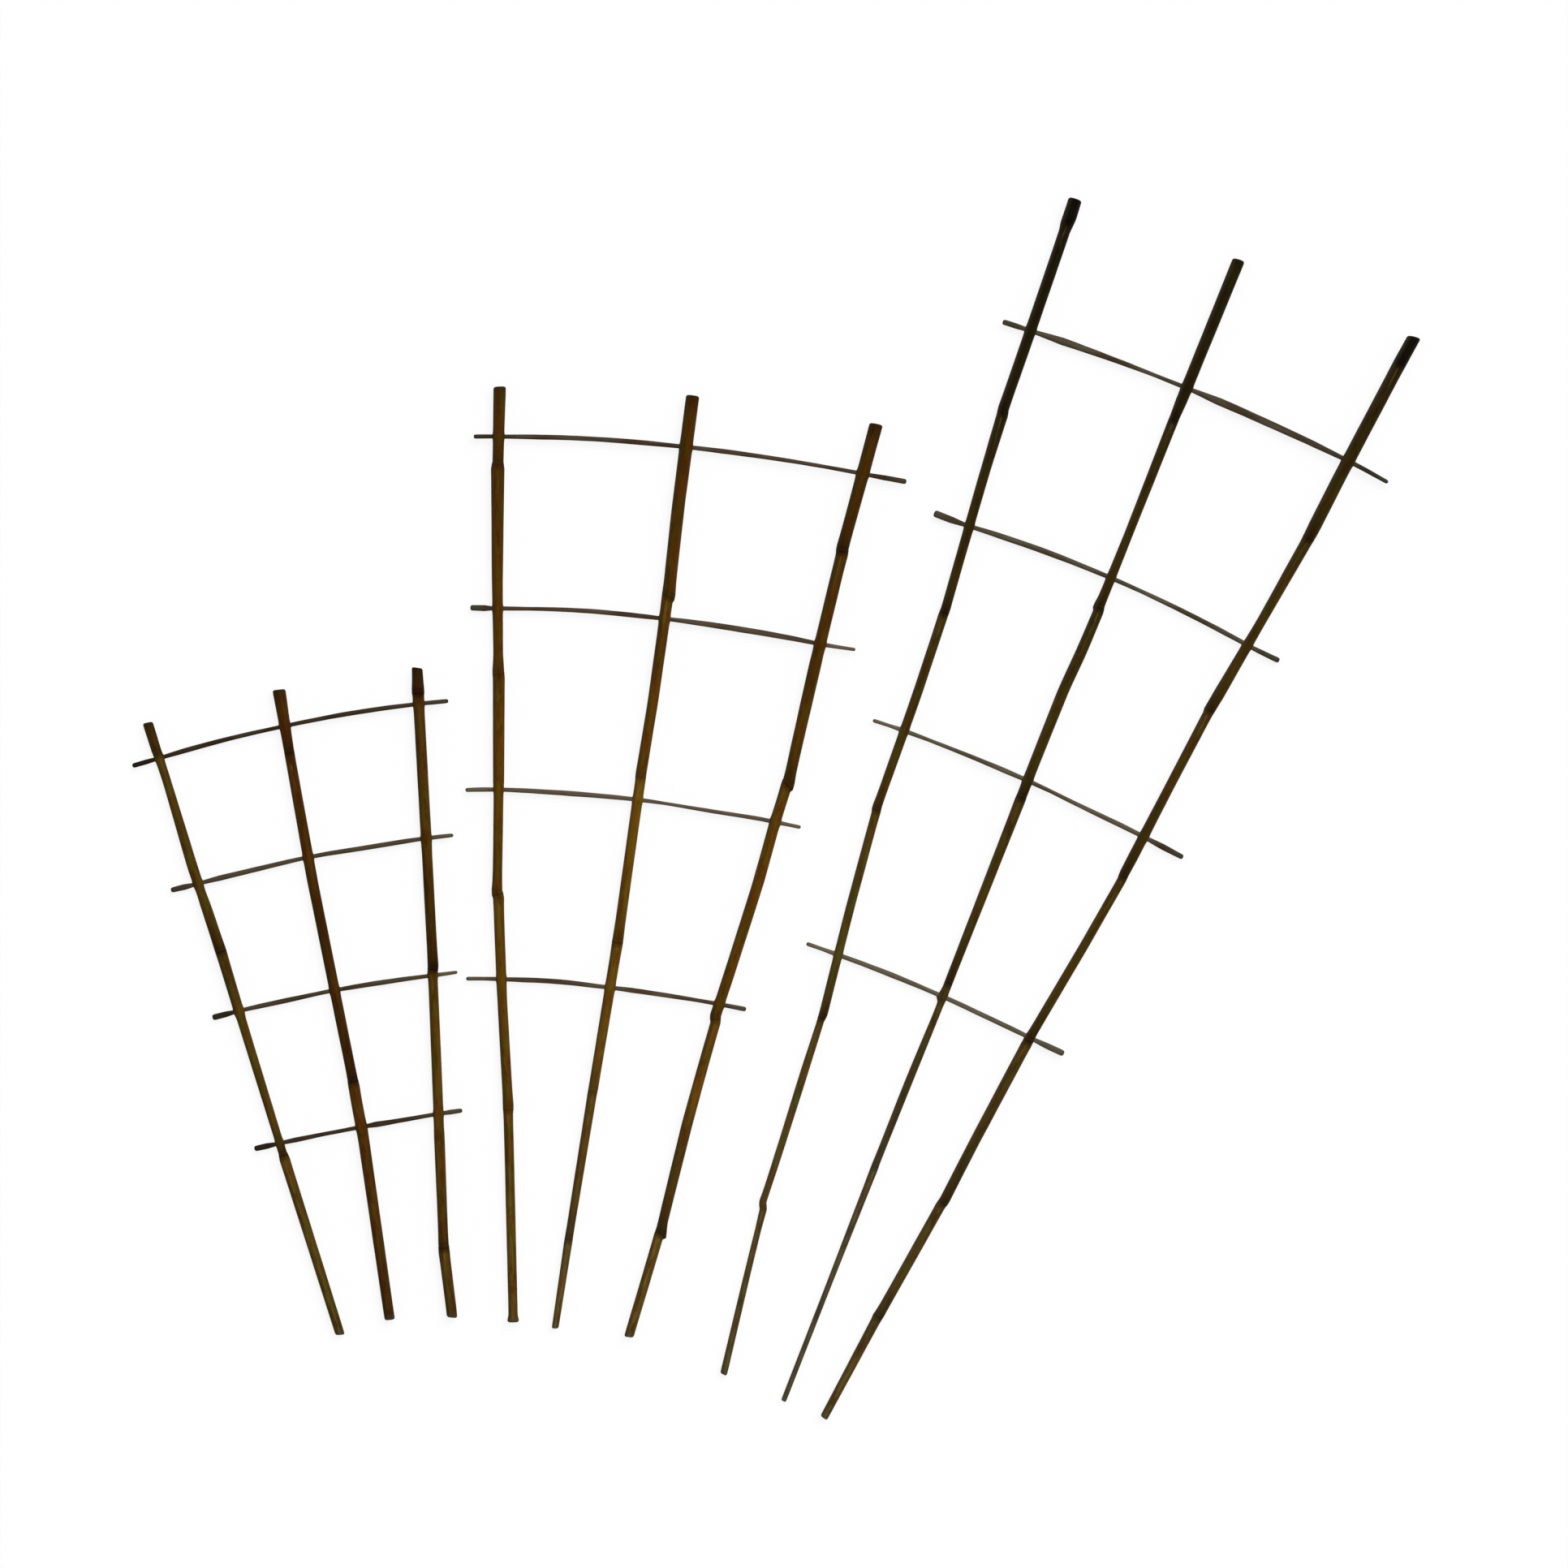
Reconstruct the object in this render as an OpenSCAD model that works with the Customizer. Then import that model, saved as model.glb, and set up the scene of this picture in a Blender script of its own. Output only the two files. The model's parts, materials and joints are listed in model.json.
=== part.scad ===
// Set of three bamboo fan frames for training climbing plants, lying side by side on the ground.
// Each frame is three fanned canes with four thin cross bars threaded through drilled holes.
// Lengths are in millimetres and angles in degrees. X runs across the set, Y up the canes, Z off the ground.

/* [Set] */
// Clear strip between the small frame and the medium frame, square to the strip
small_strip = 5.5; // [1:0.5:80]
// Clear strip between the medium frame and the large frame, square to the strip
large_strip = 23.5; // [1:0.5:120]
// How far the small middle foot lies above the medium one
small_rise = 8; // [-60:1:60]
// How far the large middle foot lies below the medium one
large_drop = 70; // [-60:1:140]

/* [Small frame] */
// Length of the small middle cane
small_cane_len = 612; // [500:1:760]
// Plain thickness of the small canes
small_cane_d = 9.5; // [8:0.1:13]
// Plain width of the small cross bars
small_bar_d = 4.3; // [3:0.1:5]
// Plain length of a small bar outside the outer canes
small_overhang = 25; // [22:1:60]
// Plain spacing of the small feet
small_foot_gap = 54; // [40:1:80]
// Lean of the small frame to the right of upright
small_lean = -10; // [-20:0.5:0]
// Plain angle between neighbouring small canes
small_fan = 7.2; // [4:0.2:10]

/* [Medium frame] */
// Length of the medium middle cane
medium_cane_len = 900; // [740:1:1100]
// Plain thickness of the medium canes
medium_cane_d = 10; // [8.5:0.1:14]
// Plain width of the medium cross bars
medium_bar_d = 4.3; // [3:0.1:5]
// Plain length of a medium bar outside the outer canes
medium_overhang = 30; // [26:1:60]
// Plain spacing of the medium feet
medium_foot_gap = 56; // [42:1:80]
// Lean of the medium frame to the right of upright
medium_lean = 8.4; // [0:0.2:16]
// Plain angle between neighbouring medium canes
medium_fan = 8; // [5:0.2:10]

/* [Large frame] */
// Length of the large middle cane
large_cane_len = 1175; // [980:1:1400]
// Plain thickness of the large canes
large_cane_d = 9; // [8:0.1:13]
// Plain width of the large cross bars
large_bar_d = 4.6; // [3:0.1:5.2]
// Plain length of a large bar outside the outer canes
large_overhang = 35; // [28:1:70]
// Plain spacing of the large feet
large_foot_gap = 53; // [40:1:80]
// Lean of the large frame to the right of upright
large_lean = 21.75; // [14:0.25:30]
// Plain angle between neighbouring large canes
large_fan = 6; // [4:0.2:8]

/* [Joints and ends] */
// Length of the slow swelling above each bamboo joint
flare_len = 22; // [8:1:40]
// Rounded edge at each sawn cane end
end_edge = 0.6; // [0.2:0.1:1]
// Depth of the hollow in each sawn cane end
hollow_depth = 16; // [6:1:30]
// Length over which the tip of each bar is trimmed
tip_trim = 1.2; // [0.5:0.1:3]
// Play all round between a bar and its hole
bar_play = 0.15; // [0.08:0.01:0.3]
// How far a cut runs past the face it opens
overrun = 1; // [0.5:0.1:3]

/* [Hidden] */
// Each cane from foot to top: height share, bow share, girth share, strength share of the bamboo joint
small_left_shares = [
    [0, 0, 0.88, 0],
    [0.305, 0, 0.94, 0.8],
    [0.625, 0.002, 0.95, 1],
    [0.957, -0.0005, 0.93, 0.7],
    [1, 0, 0.98, 0]
];
small_middle_shares = [
    [0, 0, 1, 0],
    [0.26, 0.0073, 1, 0.3],
    [0.375, 0.008, 0.99, 0.8],
    [0.7, -0.0003, 0.99, 0.3],
    [0.895, -0.001, 0.98, 0.7],
    [1, 0, 1.18, 0]
];
small_right_shares = [
    [0, 0, 0.97, 0],
    [0.115, -0.0074, 0.92, 0.9],
    [0.535, 0, 0.98, 0.7],
    [0.96, -0.001, 1.06, 0.7],
    [1, 0, 1.06, 0]
];
medium_left_shares = [
    [0, 0, 0.84, 0],
    [0.225, -0.0015, 0.87, 0.9],
    [0.35, -0.007, 0.88, 0.3],
    [0.455, -0.0095, 0.92, 1],
    [0.7, -0.0047, 0.97, 0.8],
    [0.915, -0.0027, 1.13, 0.6],
    [1, 0, 1.12, 0]
];
medium_middle_shares = [
    [0, 0, 0.64, 0],
    [0.095, 0.0004, 0.71, 0.8],
    [0.26, 0.0028, 0.84, 0.6],
    [0.42, 0.0058, 0.91, 0.8],
    [0.59, 0.0043, 0.95, 0.7],
    [0.785, 0.005, 1.09, 0.9],
    [1, 0, 1.22, 0]
];
medium_right_shares = [
    [0, 0, 0.86, 0],
    [0.115, 0.0045, 0.92, 1],
    [0.345, 0.0005, 0.91, 0.7],
    [0.51, 0.0064, 0.97, 0.3],
    [0.615, 0.0096, 1.06, 1.1],
    [0.86, 0.0003, 1.13, 0.6],
    [1, 0, 1.22, 0]
];
large_left_shares = [
    [0, 0, 0.69, 0],
    [0.14, -0.0087, 0.66, 0.9],
    [0.305, -0.0063, 0.78, 0.8],
    [0.48, -0.0125, 0.89, 1],
    [0.65, -0.0052, 0.98, 0.8],
    [0.815, -0.0065, 1.08, 1],
    [0.972, -0.0006, 1.24, 0.6],
    [1, 0, 1.36, 0]
];
large_middle_shares = [
    [0, 0, 0.5, 0],
    [0.2, -0.0016, 0.67, 0.7],
    [0.36, -0.0019, 0.82, 0.7],
    [0.525, -0.002, 1.01, 0.7],
    [0.69, -0.0008, 1.03, 1],
    [0.86, -0.0013, 1.02, 0.8],
    [1, 0, 1.26, 0]
];
large_right_shares = [
    [0, 0, 0.8, 0],
    [0.1, -0.0008, 0.9, 0.7],
    [0.195, 0.0012, 0.96, 0.7],
    [0.345, -0.0008, 1, 0.8],
    [0.5, 0.0025, 0.94, 0.8],
    [0.655, -0.0007, 1.03, 1],
    [0.82, 0.003, 1.13, 0.9],
    [0.97, 0, 1.3, 0.5],
    [1, 0, 1.33, 0]
];
cane_shares = [
    [small_left_shares, small_middle_shares, small_right_shares],
    [medium_left_shares, medium_middle_shares, medium_right_shares],
    [large_left_shares, large_middle_shares, large_right_shares]
];

// Left, middle and right cane of each frame: length, foot place, foot height and fan angle
length_shares = [[1, 1, 1.015], [0.993, 1, 1.003], [0.999, 1, 1.003]];
foot_shares = [[-0.915, 0, 1.1], [-0.725, 0, 1.27], [-1.185, 0, 0.785]];
foot_rise_shares = [[-0.008, 0, -0.012], [0, 0, 0.003], [0.002, 0, -0.0015]];
fan_shares = [[-1.035, 0, 0.96], [-1.155, 0, 0.845], [-0.848, 0, 1.155]];

// Heights of the four bars on the left, middle and right cane, the top bar first
bar_height_shares = [
    [[0.943, 0.9425, 0.945], [0.7375, 0.734, 0.7375], [0.5285, 0.522, 0.526], [0.312, 0.305, 0.3135]],
    [[0.948, 0.947, 0.947], [0.764, 0.763, 0.761], [0.57, 0.5685, 0.5665], [0.367, 0.3665, 0.3645]],
    [[0.887, 0.888, 0.887], [0.72, 0.7215, 0.7165], [0.544, 0.543, 0.5395], [0.3545, 0.354, 0.352]]
];
// Left and right overhang of each bar
overhang_shares = [
    [[1.06, 1.12], [1.06, 1.03], [1.03, 0.94], [0.98, 0.91]],
    [[0.78, 1.4], [0.86, 1.13], [1.04, 0.82], [1.11, 0.86]],
    [[0.79, 1.22], [1.02, 0.96], [0.89, 1.21], [0.91, 1.02]]
];
// Width of each bar: left tip, left overhang, three places in each span, right overhang, right tip
small_width_shares = [
    [1.05, 1.1, 1.05, 1.02, 0.9, 0.93, 1.05, 1, 0.9, 0.88],
    [1.1, 1.28, 1.15, 1.1, 1, 1.02, 1.05, 1.05, 0.9, 0.8],
    [1.28, 1.25, 1.02, 1.1, 0.9, 1.02, 1.1, 0.93, 0.82, 0.7],
    [1.2, 1.25, 1.07, 0.9, 0.87, 1.18, 1, 0.9, 1.08, 0.95]
];
medium_width_shares = [
    [0.9, 0.9, 1.05, 1.02, 1.05, 1.05, 0.92, 0.8, 1.1, 1.12],
    [1.2, 1.32, 0.83, 1, 1.05, 1.12, 1.28, 1.1, 0.83, 0.7],
    [0.86, 1, 0.98, 1.12, 1, 0.75, 0.82, 0.86, 0.8, 0.78],
    [0.82, 0.82, 1.05, 1.13, 1, 1.07, 1, 0.82, 0.95, 1]
];
large_width_shares = [
    [1.12, 1.12, 1.48, 1.12, 0.78, 1.48, 1.45, 1.2, 0.85, 0.85],
    [1.42, 1.38, 1.06, 1.2, 0.95, 0.83, 0.98, 1.02, 1.02, 1.1],
    [0.76, 0.7, 0.7, 0.84, 1, 0.78, 0.88, 1.04, 1.24, 1.12],
    [0.84, 0.77, 0.95, 1.06, 0.98, 0.92, 0.94, 0.94, 1.2, 1.24]
];
width_shares = [small_width_shares, medium_width_shares, large_width_shares];

// Swelling of a full bamboo joint: its ridge, the slow flare above it and the slim neck below it
ridge_share = 0.17;
flare_share = 0.08;
neck_share = 0.97;
// How far each stretch stops short of the middle of a joint, against its radius
inset_share = 0.1;
// Part of a cane between two joints that a flare may take
flare_limit_share = 0.4;
// Turn of a swollen joint about its cane
joint_turn = 45;
// Plain round leg of each cane, as part of the cane's length
leg_share = 0.08;
// Bore of a hollow cane end, and how much of the end piece it may run into
hollow_share = 0.42;
hollow_limit_share = 0.6;
// Round waist of a bar inside a cane, and its half length against the cane's thickness
waist_share = 0.9;
waist_reach_share = 0.8;
// Depth of a bar against its plain width, and the size left at a trimmed tip
depth_share = 0.78;
tip_share = 0.66;
// Places along a span where a bar's width is set
span_shares = [0.2, 0.5, 0.8];
// Length of a cross hole cut against the cane's thickness
hole_reach_share = 3;
// Sides of the split bars
bar_sides = 12;

// Frames are counted small, medium, large, canes left to right and bars from the top down
frame_range = [0:2];
cane_range = [0:2];
bar_range = [0:3];
function cane_len(f) = [small_cane_len, medium_cane_len, large_cane_len][f];
function cane_d(f) = [small_cane_d, medium_cane_d, large_cane_d][f];
function bar_d(f) = [small_bar_d, medium_bar_d, large_bar_d][f];
function overhang(f) = [small_overhang, medium_overhang, large_overhang][f];
function foot_gap(f) = [small_foot_gap, medium_foot_gap, large_foot_gap][f];
function lean(f) = [small_lean, medium_lean, large_lean][f];
function fan(f) = [small_fan, medium_fan, large_fan][f];
function waist_d(f) = bar_d(f) * waist_share;
function hole_d(f) = waist_d(f) + 2 * bar_play;

// Cane paths, measured from the middle foot of their own frame
function leaned(p, a) = [p.x * cos(a) + p.y * sin(a), p.y * cos(a) - p.x * sin(a)];
function rows(f, c) = cane_shares[f][c];
function this_len(f, c) = cane_len(f) * length_shares[f][c];
function this_angle(f, c) = lean(f) + fan(f) * fan_shares[f][c];
function foot(f, c) = leaned([foot_gap(f) * foot_shares[f][c], cane_len(f) * foot_rise_shares[f][c]], lean(f));
function body_r(f, c, i) = cane_d(f) / 2 * rows(f, c)[i][2];
function crest_r(f, c, i) = body_r(f, c, i) * (1 + ridge_share * rows(f, c)[i][3]);
function last_row(f, c) = len(rows(f, c)) - 1;
function rest_row(f, c, i) = min(max(i, 1), last_row(f, c) - 1);
function rest_height(f, c, i) = max(crest_r(f, c, i), crest_r(f, c, rest_row(f, c, i)));
function plan_point(f, c, h, bow) = foot(f, c) + leaned([bow, h] * this_len(f, c), this_angle(f, c));
function path_point(f, c, i) = concat(
    plan_point(f, c, rows(f, c)[i][0], rows(f, c)[i][1]),
    rest_height(f, c, i)
);
function row_above(f, c, h, i = 1) = (i >= last_row(f, c) || rows(f, c)[i][0] > h) ? i : row_above(f, c, h, i + 1);
function part_way(f, c, h, i) = (h - rows(f, c)[i - 1][0]) / (rows(f, c)[i][0] - rows(f, c)[i - 1][0]);
function between(a, b, t) = a + (b - a) * t;
function path_at(f, c, h) =
    let (i = row_above(f, c, h))
    between(path_point(f, c, i - 1), path_point(f, c, i), part_way(f, c, h, i));

// Bar curves, smooth through the three crossings
function crossing(f, b, c) = path_at(f, c, bar_height_shares[f][b][c]);
function span_left(f, b) = norm(crossing(f, b, 1) - crossing(f, b, 0));
function span_right(f, b) = norm(crossing(f, b, 2) - crossing(f, b, 1));
function span(f, b) = span_left(f, b) + span_right(f, b);
function middle_u(f, b) = span_left(f, b) / span(f, b);
function curve(p, m, u) =
    p[0] * ((u - m) * (u - 1)) / m + p[1] * (u * (u - 1)) / (m * (m - 1)) + p[2] * (u * (u - m)) / (1 - m);
function curve_run(p, m, u) =
    p[0] * (2 * u - m - 1) / m + p[1] * (2 * u - 1) / (m * (m - 1)) + p[2] * (2 * u - m) / (1 - m);
function crossings(f, b) = [for (c = cane_range) crossing(f, b, c)];
function bar_at(f, b, u) = curve(crossings(f, b), middle_u(f, b), u);
function bar_run(f, b, u) = curve_run(crossings(f, b), middle_u(f, b), u);
function crossing_u(f, b, c) = [0, middle_u(f, b), 1][c];
function waist_reach(f) = cane_d(f) * waist_reach_share;

// Bar stations from the left tip to the right tip: place along the curve, width and depth
function waist_rows(f, b, c) = [
    for (s = [-1, 1]) [crossing_u(f, b, c) + s * waist_reach(f) / span(f, b), waist_d(f), waist_d(f)]
];
function span_rows(f, b, c) = [
    for (k = [0:2]) [
        between(crossing_u(f, b, c), crossing_u(f, b, c + 1), span_shares[k]),
        bar_d(f) * width_shares[f][b][2 + 3 * c + k],
        bar_d(f) * depth_share
    ]
];
function tip_u(f, b, side) =
    side == 0 ? -overhang(f) * overhang_shares[f][b][0] / span(f, b)
              : 1 + overhang(f) * overhang_shares[f][b][1] / span(f, b);
function waist_end_u(f, b, side) = side == 0 ? -waist_reach(f) / span(f, b) : 1 + waist_reach(f) / span(f, b);
function trim_u(f, b, side) = tip_u(f, b, side) + (side == 0 ? tip_trim : -tip_trim) / span(f, b);
function tip_width(f, b, side) = bar_d(f) * width_shares[f][b][side == 0 ? 0 : 9];
function over_width(f, b, side) = bar_d(f) * width_shares[f][b][side == 0 ? 1 : 8];
function tip_rows(f, b, side) = [
    [tip_u(f, b, side), tip_width(f, b, side) * tip_share, bar_d(f) * depth_share * tip_share],
    [trim_u(f, b, side), tip_width(f, b, side), bar_d(f) * depth_share],
    [(trim_u(f, b, side) + waist_end_u(f, b, side)) / 2, over_width(f, b, side), bar_d(f) * depth_share]
];
function flipped(list) = [for (i = [len(list) - 1:-1:0]) list[i]];
function bar_rows(f, b) = concat(
    tip_rows(f, b, 0),
    waist_rows(f, b, 0), span_rows(f, b, 0), waist_rows(f, b, 1), span_rows(f, b, 1), waist_rows(f, b, 2),
    flipped(tip_rows(f, b, 1))
);
function across(run) = [run.y, -run.x, 0] / norm([run.x, run.y]);
function bar_ring(f, b, row) =
    let (p = bar_at(f, b, row[0]), q = across(bar_run(f, b, row[0])))
    [
        for (j = [0:bar_sides - 1])
            p + q * row[1] / 2 * cos(360 * j / bar_sides) + [0, 0, row[2] / 2 * sin(360 * j / bar_sides)]
    ];
function bar_points(f, b) = [for (row = bar_rows(f, b)) each bar_ring(f, b, row)];

// Outline of each frame, used to set the strips between the frames and to centre the set
function end_side(f, c, i) = leaned([1, 0], this_angle(f, c)) * body_r(f, c, i);
function flat(p) = [p.x, p.y];
function cane_outline(f, c) = [
    for (i = [0:last_row(f, c)], s = [-1, 1])
        flat(path_point(f, c, i)) + s * end_side(f, c, i) * crest_r(f, c, i) / body_r(f, c, i)
];
function frame_outline(f) = concat(
    [for (c = cane_range) each cane_outline(f, c)],
    [for (b = bar_range, p = bar_points(f, b)) flat(p)]
);
function strip_normal(f) = leaned([1, 0], (lean(f) + lean(f + 1)) / 2);
function right_reach(f) = max([for (p = frame_outline(f)) p * strip_normal(f)]);
function left_reach(f) = min([for (p = frame_outline(f + 1)) p * strip_normal(f)]);
function strip_shift(f, strip, fall) =
    (right_reach(f) - left_reach(f) + strip - fall * strip_normal(f).y) / strip_normal(f).x;
small_place = [-strip_shift(0, small_strip, -small_rise), small_rise];
medium_place = [0, 0];
large_place = [strip_shift(1, large_strip, -large_drop), -large_drop];
places = [small_place, medium_place, large_place];
set_outline = [for (f = frame_range, p = frame_outline(f)) p + places[f]];
set_x = [for (p = set_outline) p.x];
set_y = [for (p = set_outline) p.y];
set_centre = [min(set_x) + max(set_x), min(set_y) + max(set_y)] / 2;

// Moves a frame's piece to its place in the set
module placed(f) {
    translate(concat(places[f] - set_centre, 0)) children();
}

// Turns upright work so that it runs from one point along a direction
module set_along(start, run) {
    translate(start)
        rotate([0, acos(run.z / norm(run)), atan2(run.y, run.x)])
            children();
}

// Lowest stretch of a cane, a plain round leg and then a slight taper
module foot_stretch(stop, leg, r_leg, r_top) {
    rotate_extrude()
        polygon([[0, 0], [r_leg - end_edge, 0], [r_leg, end_edge], [r_leg, leg], [r_top, stop], [0, stop]]);
}

// Stretch of a cane between two bamboo joints
module middle_stretch(start, stop, flare, r_flare, r_low, r_top) {
    rotate_extrude()
        polygon([[0, start], [r_flare, start], [r_low, flare], [r_top, stop], [0, stop]]);
}

// Highest stretch of a cane, up to its sawn end
module top_stretch(start, stop, flare, r_flare, r_low, r_top) {
    edge = stop - end_edge;
    rotate_extrude()
        polygon([
            [0, start], [r_flare, start], [r_low, flare],
            [r_top, edge], [r_top - end_edge, stop], [0, stop]
        ]);
}

// One stretch of a cane, from joint or foot i to the next joint or the top
module stretch(f, c, i) {
    from = path_point(f, c, i);
    run = path_point(f, c, i + 1) - from;
    long = norm(run);
    r_low = body_r(f, c, i);
    r_flare = r_low * (1 + flare_share * rows(f, c)[i][3]);
    r_end = body_r(f, c, i + 1);
    start = r_low * inset_share;
    stop = long - r_end * inset_share;
    flare = min(flare_len, long * flare_limit_share);
    set_along(from, run)
        if (i == 0)
            foot_stretch(stop, this_len(f, c) * leg_share, r_low, r_end * neck_share);
        else if (i + 1 == last_row(f, c))
            top_stretch(start, long, flare, r_flare, r_low, r_end);
        else
            middle_stretch(start, stop, flare, r_flare, r_low, r_end * neck_share);
}

// Swollen bamboo joint i of a cane, which also makes the cane's small change of direction
module joint(f, c, i) {
    before = path_point(f, c, i) - path_point(f, c, i - 1);
    after = path_point(f, c, i + 1) - path_point(f, c, i);
    set_along(path_point(f, c, i), before / norm(before) + after / norm(after))
        rotate([0, 0, joint_turn]) sphere(r = crest_r(f, c, i));
}

// Blind hollow in a sawn cane end, running from the end towards its neighbour
module end_hollow(f, c, i, next) {
    run = path_point(f, c, next) - path_point(f, c, i);
    deep = min(hollow_depth, norm(run) * hollow_limit_share);
    set_along(path_point(f, c, i), run)
        translate([0, 0, -overrun])
            cylinder(h = deep + overrun, r = body_r(f, c, i) * hollow_share);
}

// Drilled cross hole for bar b
module cross_hole(f, c, b) {
    set_along(crossing(f, b, c), bar_run(f, b, crossing_u(f, b, c)))
        cylinder(h = cane_d(f) * hole_reach_share, d = hole_d(f), center = true);
}

// One whole cane
module cane(f, c) {
    last = last_row(f, c);
    placed(f)
        difference() {
            union() {
                for (i = [0:last - 1]) stretch(f, c, i);
                for (i = [1:last - 1]) joint(f, c, i);
            }
            for (b = bar_range) cross_hole(f, c, b);
            end_hollow(f, c, 0, 1);
            end_hollow(f, c, last, last - 1);
        }
}

// One whole split bar
module bar(f, b) {
    points = bar_points(f, b);
    rings = len(points) / bar_sides;
    walls = [
        for (k = [0:rings - 2], j = [0:bar_sides - 1], half = [0, 1])
            let (a = k * bar_sides + j, n = k * bar_sides + (j + 1) % bar_sides)
            half == 0 ? [a, n, n + bar_sides] : [a, n + bar_sides, a + bar_sides]
    ];
    first_cap = [for (j = [bar_sides - 1:-1:0]) j];
    last_cap = [for (j = [0:bar_sides - 1]) (rings - 1) * bar_sides + j];
    placed(f) polyhedron(points = points, faces = concat(walls, [first_cap, last_cap]));
}

// Small frame
module small_left_cane() { color([0.30, 0.21, 0.06]) cane(0, 0); }
module small_middle_cane() { color([0.27, 0.17, 0.05]) cane(0, 1); }
module small_right_cane() { color([0.30, 0.21, 0.06]) cane(0, 2); }
module small_bar_1() { color([0.24, 0.20, 0.15]) bar(0, 0); }
module small_bar_2() { color([0.24, 0.20, 0.15]) bar(0, 1); }
module small_bar_3() { color([0.24, 0.20, 0.15]) bar(0, 2); }
module small_bar_4() { color([0.24, 0.20, 0.15]) bar(0, 3); }

// Medium frame
module medium_left_cane() { color([0.33, 0.22, 0.05]) cane(1, 0); }
module medium_middle_cane() { color([0.33, 0.22, 0.05]) cane(1, 1); }
module medium_right_cane() { color([0.33, 0.22, 0.05]) cane(1, 2); }
module medium_bar_1() { color([0.29, 0.24, 0.19]) bar(1, 0); }
module medium_bar_2() { color([0.29, 0.24, 0.19]) bar(1, 1); }
module medium_bar_3() { color([0.29, 0.24, 0.19]) bar(1, 2); }
module medium_bar_4() { color([0.29, 0.24, 0.19]) bar(1, 3); }

// Large frame
module large_left_cane() { color([0.22, 0.18, 0.05]) cane(2, 0); }
module large_middle_cane() { color([0.22, 0.18, 0.05]) cane(2, 1); }
module large_right_cane() { color([0.22, 0.18, 0.05]) cane(2, 2); }
module large_bar_1() { color([0.31, 0.27, 0.22]) bar(2, 0); }
module large_bar_2() { color([0.31, 0.27, 0.22]) bar(2, 1); }
module large_bar_3() { color([0.31, 0.27, 0.22]) bar(2, 2); }
module large_bar_4() { color([0.31, 0.27, 0.22]) bar(2, 3); }

small_left_cane();
small_middle_cane();
small_right_cane();
small_bar_1();
small_bar_2();
small_bar_3();
small_bar_4();
medium_left_cane();
medium_middle_cane();
medium_right_cane();
medium_bar_1();
medium_bar_2();
medium_bar_3();
medium_bar_4();
large_left_cane();
large_middle_cane();
large_right_cane();
large_bar_1();
large_bar_2();
large_bar_3();
large_bar_4();
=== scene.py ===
"""Looks of a set of three bamboo fan frames that lie side by side on a pale floor.

Lengths are in metres and angles in degrees. X runs across the set, Y up the canes, Z off the floor.
"""
import json
import logging
import math
from collections.abc import Sequence
from dataclasses import dataclass, field
from enum import Enum
from typing import NamedTuple

import bmesh
import bpy
import numpy as np
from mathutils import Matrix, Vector


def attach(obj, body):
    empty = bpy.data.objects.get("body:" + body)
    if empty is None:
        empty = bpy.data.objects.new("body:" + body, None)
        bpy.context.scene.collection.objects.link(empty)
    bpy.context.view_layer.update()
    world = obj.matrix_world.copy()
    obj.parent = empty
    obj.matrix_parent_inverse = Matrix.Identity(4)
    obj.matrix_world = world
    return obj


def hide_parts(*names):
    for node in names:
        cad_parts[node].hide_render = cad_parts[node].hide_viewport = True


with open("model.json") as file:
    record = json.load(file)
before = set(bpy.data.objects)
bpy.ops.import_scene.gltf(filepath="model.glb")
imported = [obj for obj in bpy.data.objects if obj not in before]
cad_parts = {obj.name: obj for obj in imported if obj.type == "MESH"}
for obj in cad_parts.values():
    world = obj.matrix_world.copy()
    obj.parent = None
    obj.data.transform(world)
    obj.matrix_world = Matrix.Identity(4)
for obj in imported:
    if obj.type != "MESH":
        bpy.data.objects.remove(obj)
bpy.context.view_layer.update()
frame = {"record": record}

MM = 0.001
PATTERN_STEP = 0.37
WHITE = (1.0, 1.0, 1.0, 1.0)
SWEEP_LAYERS = ("girth", "flat", "groove", "collar", "bud", "heart")

Colour = tuple[int, int, int]
Tint = tuple[float, float, float, float]
Keys = Sequence[tuple[float, float]]
Socket = bpy.types.NodeSocket
Mesh = bpy.types.Mesh
Thing = bpy.types.Object
Material = bpy.types.Material

log = logging.getLogger("fan_frames")


class Side(Enum):
    """Place of a cane in its frame."""

    LEFT = 0
    MIDDLE = 1
    RIGHT = 2


class Blend(Enum):
    """Ways of mixing two colours."""

    MIX = "MIX"
    MULTIPLY = "MULTIPLY"


class Ramp(NamedTuple):
    """Smooth change from first, where a number is low, to last, where it is high."""

    low: float
    high: float
    first: float = 0.0
    last: float = 1.0


class Grain(NamedTuple):
    """A noise: how fine it is across, up and along, its finer layers and their strength."""

    stretch: tuple[float, float, float]
    detail: float
    rough: float = 0.5


def linear(colour: Colour) -> Tint:
    """Turns a screen colour into the linear one that a shader takes.

    Args:
        colour: Red, green and blue from 0 to 255.

    Returns:
        Red, green, blue and alpha from 0 to 1.
    """
    top, cut, slope, offset, power = 255, 0.04045, 12.92, 0.055, 2.4
    shares = [value / top for value in colour]
    red, green, blue = (s / slope if s <= cut else ((s + offset) / (1 + offset)) ** power for s in shares)
    return (red, green, blue, 1.0)


def smooth_step(low: float, high: float, values: np.ndarray) -> np.ndarray:
    """Rises smoothly from 0 at low to 1 at high.

    Args:
        low: Value at which the rise starts.
        high: Value at which it ends.
        values: Where it is wanted.

    Returns:
        The rise at each value.
    """
    t = np.clip((values - low) / (high - low), 0, 1)
    return t * t * (3 - 2 * t)


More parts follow.
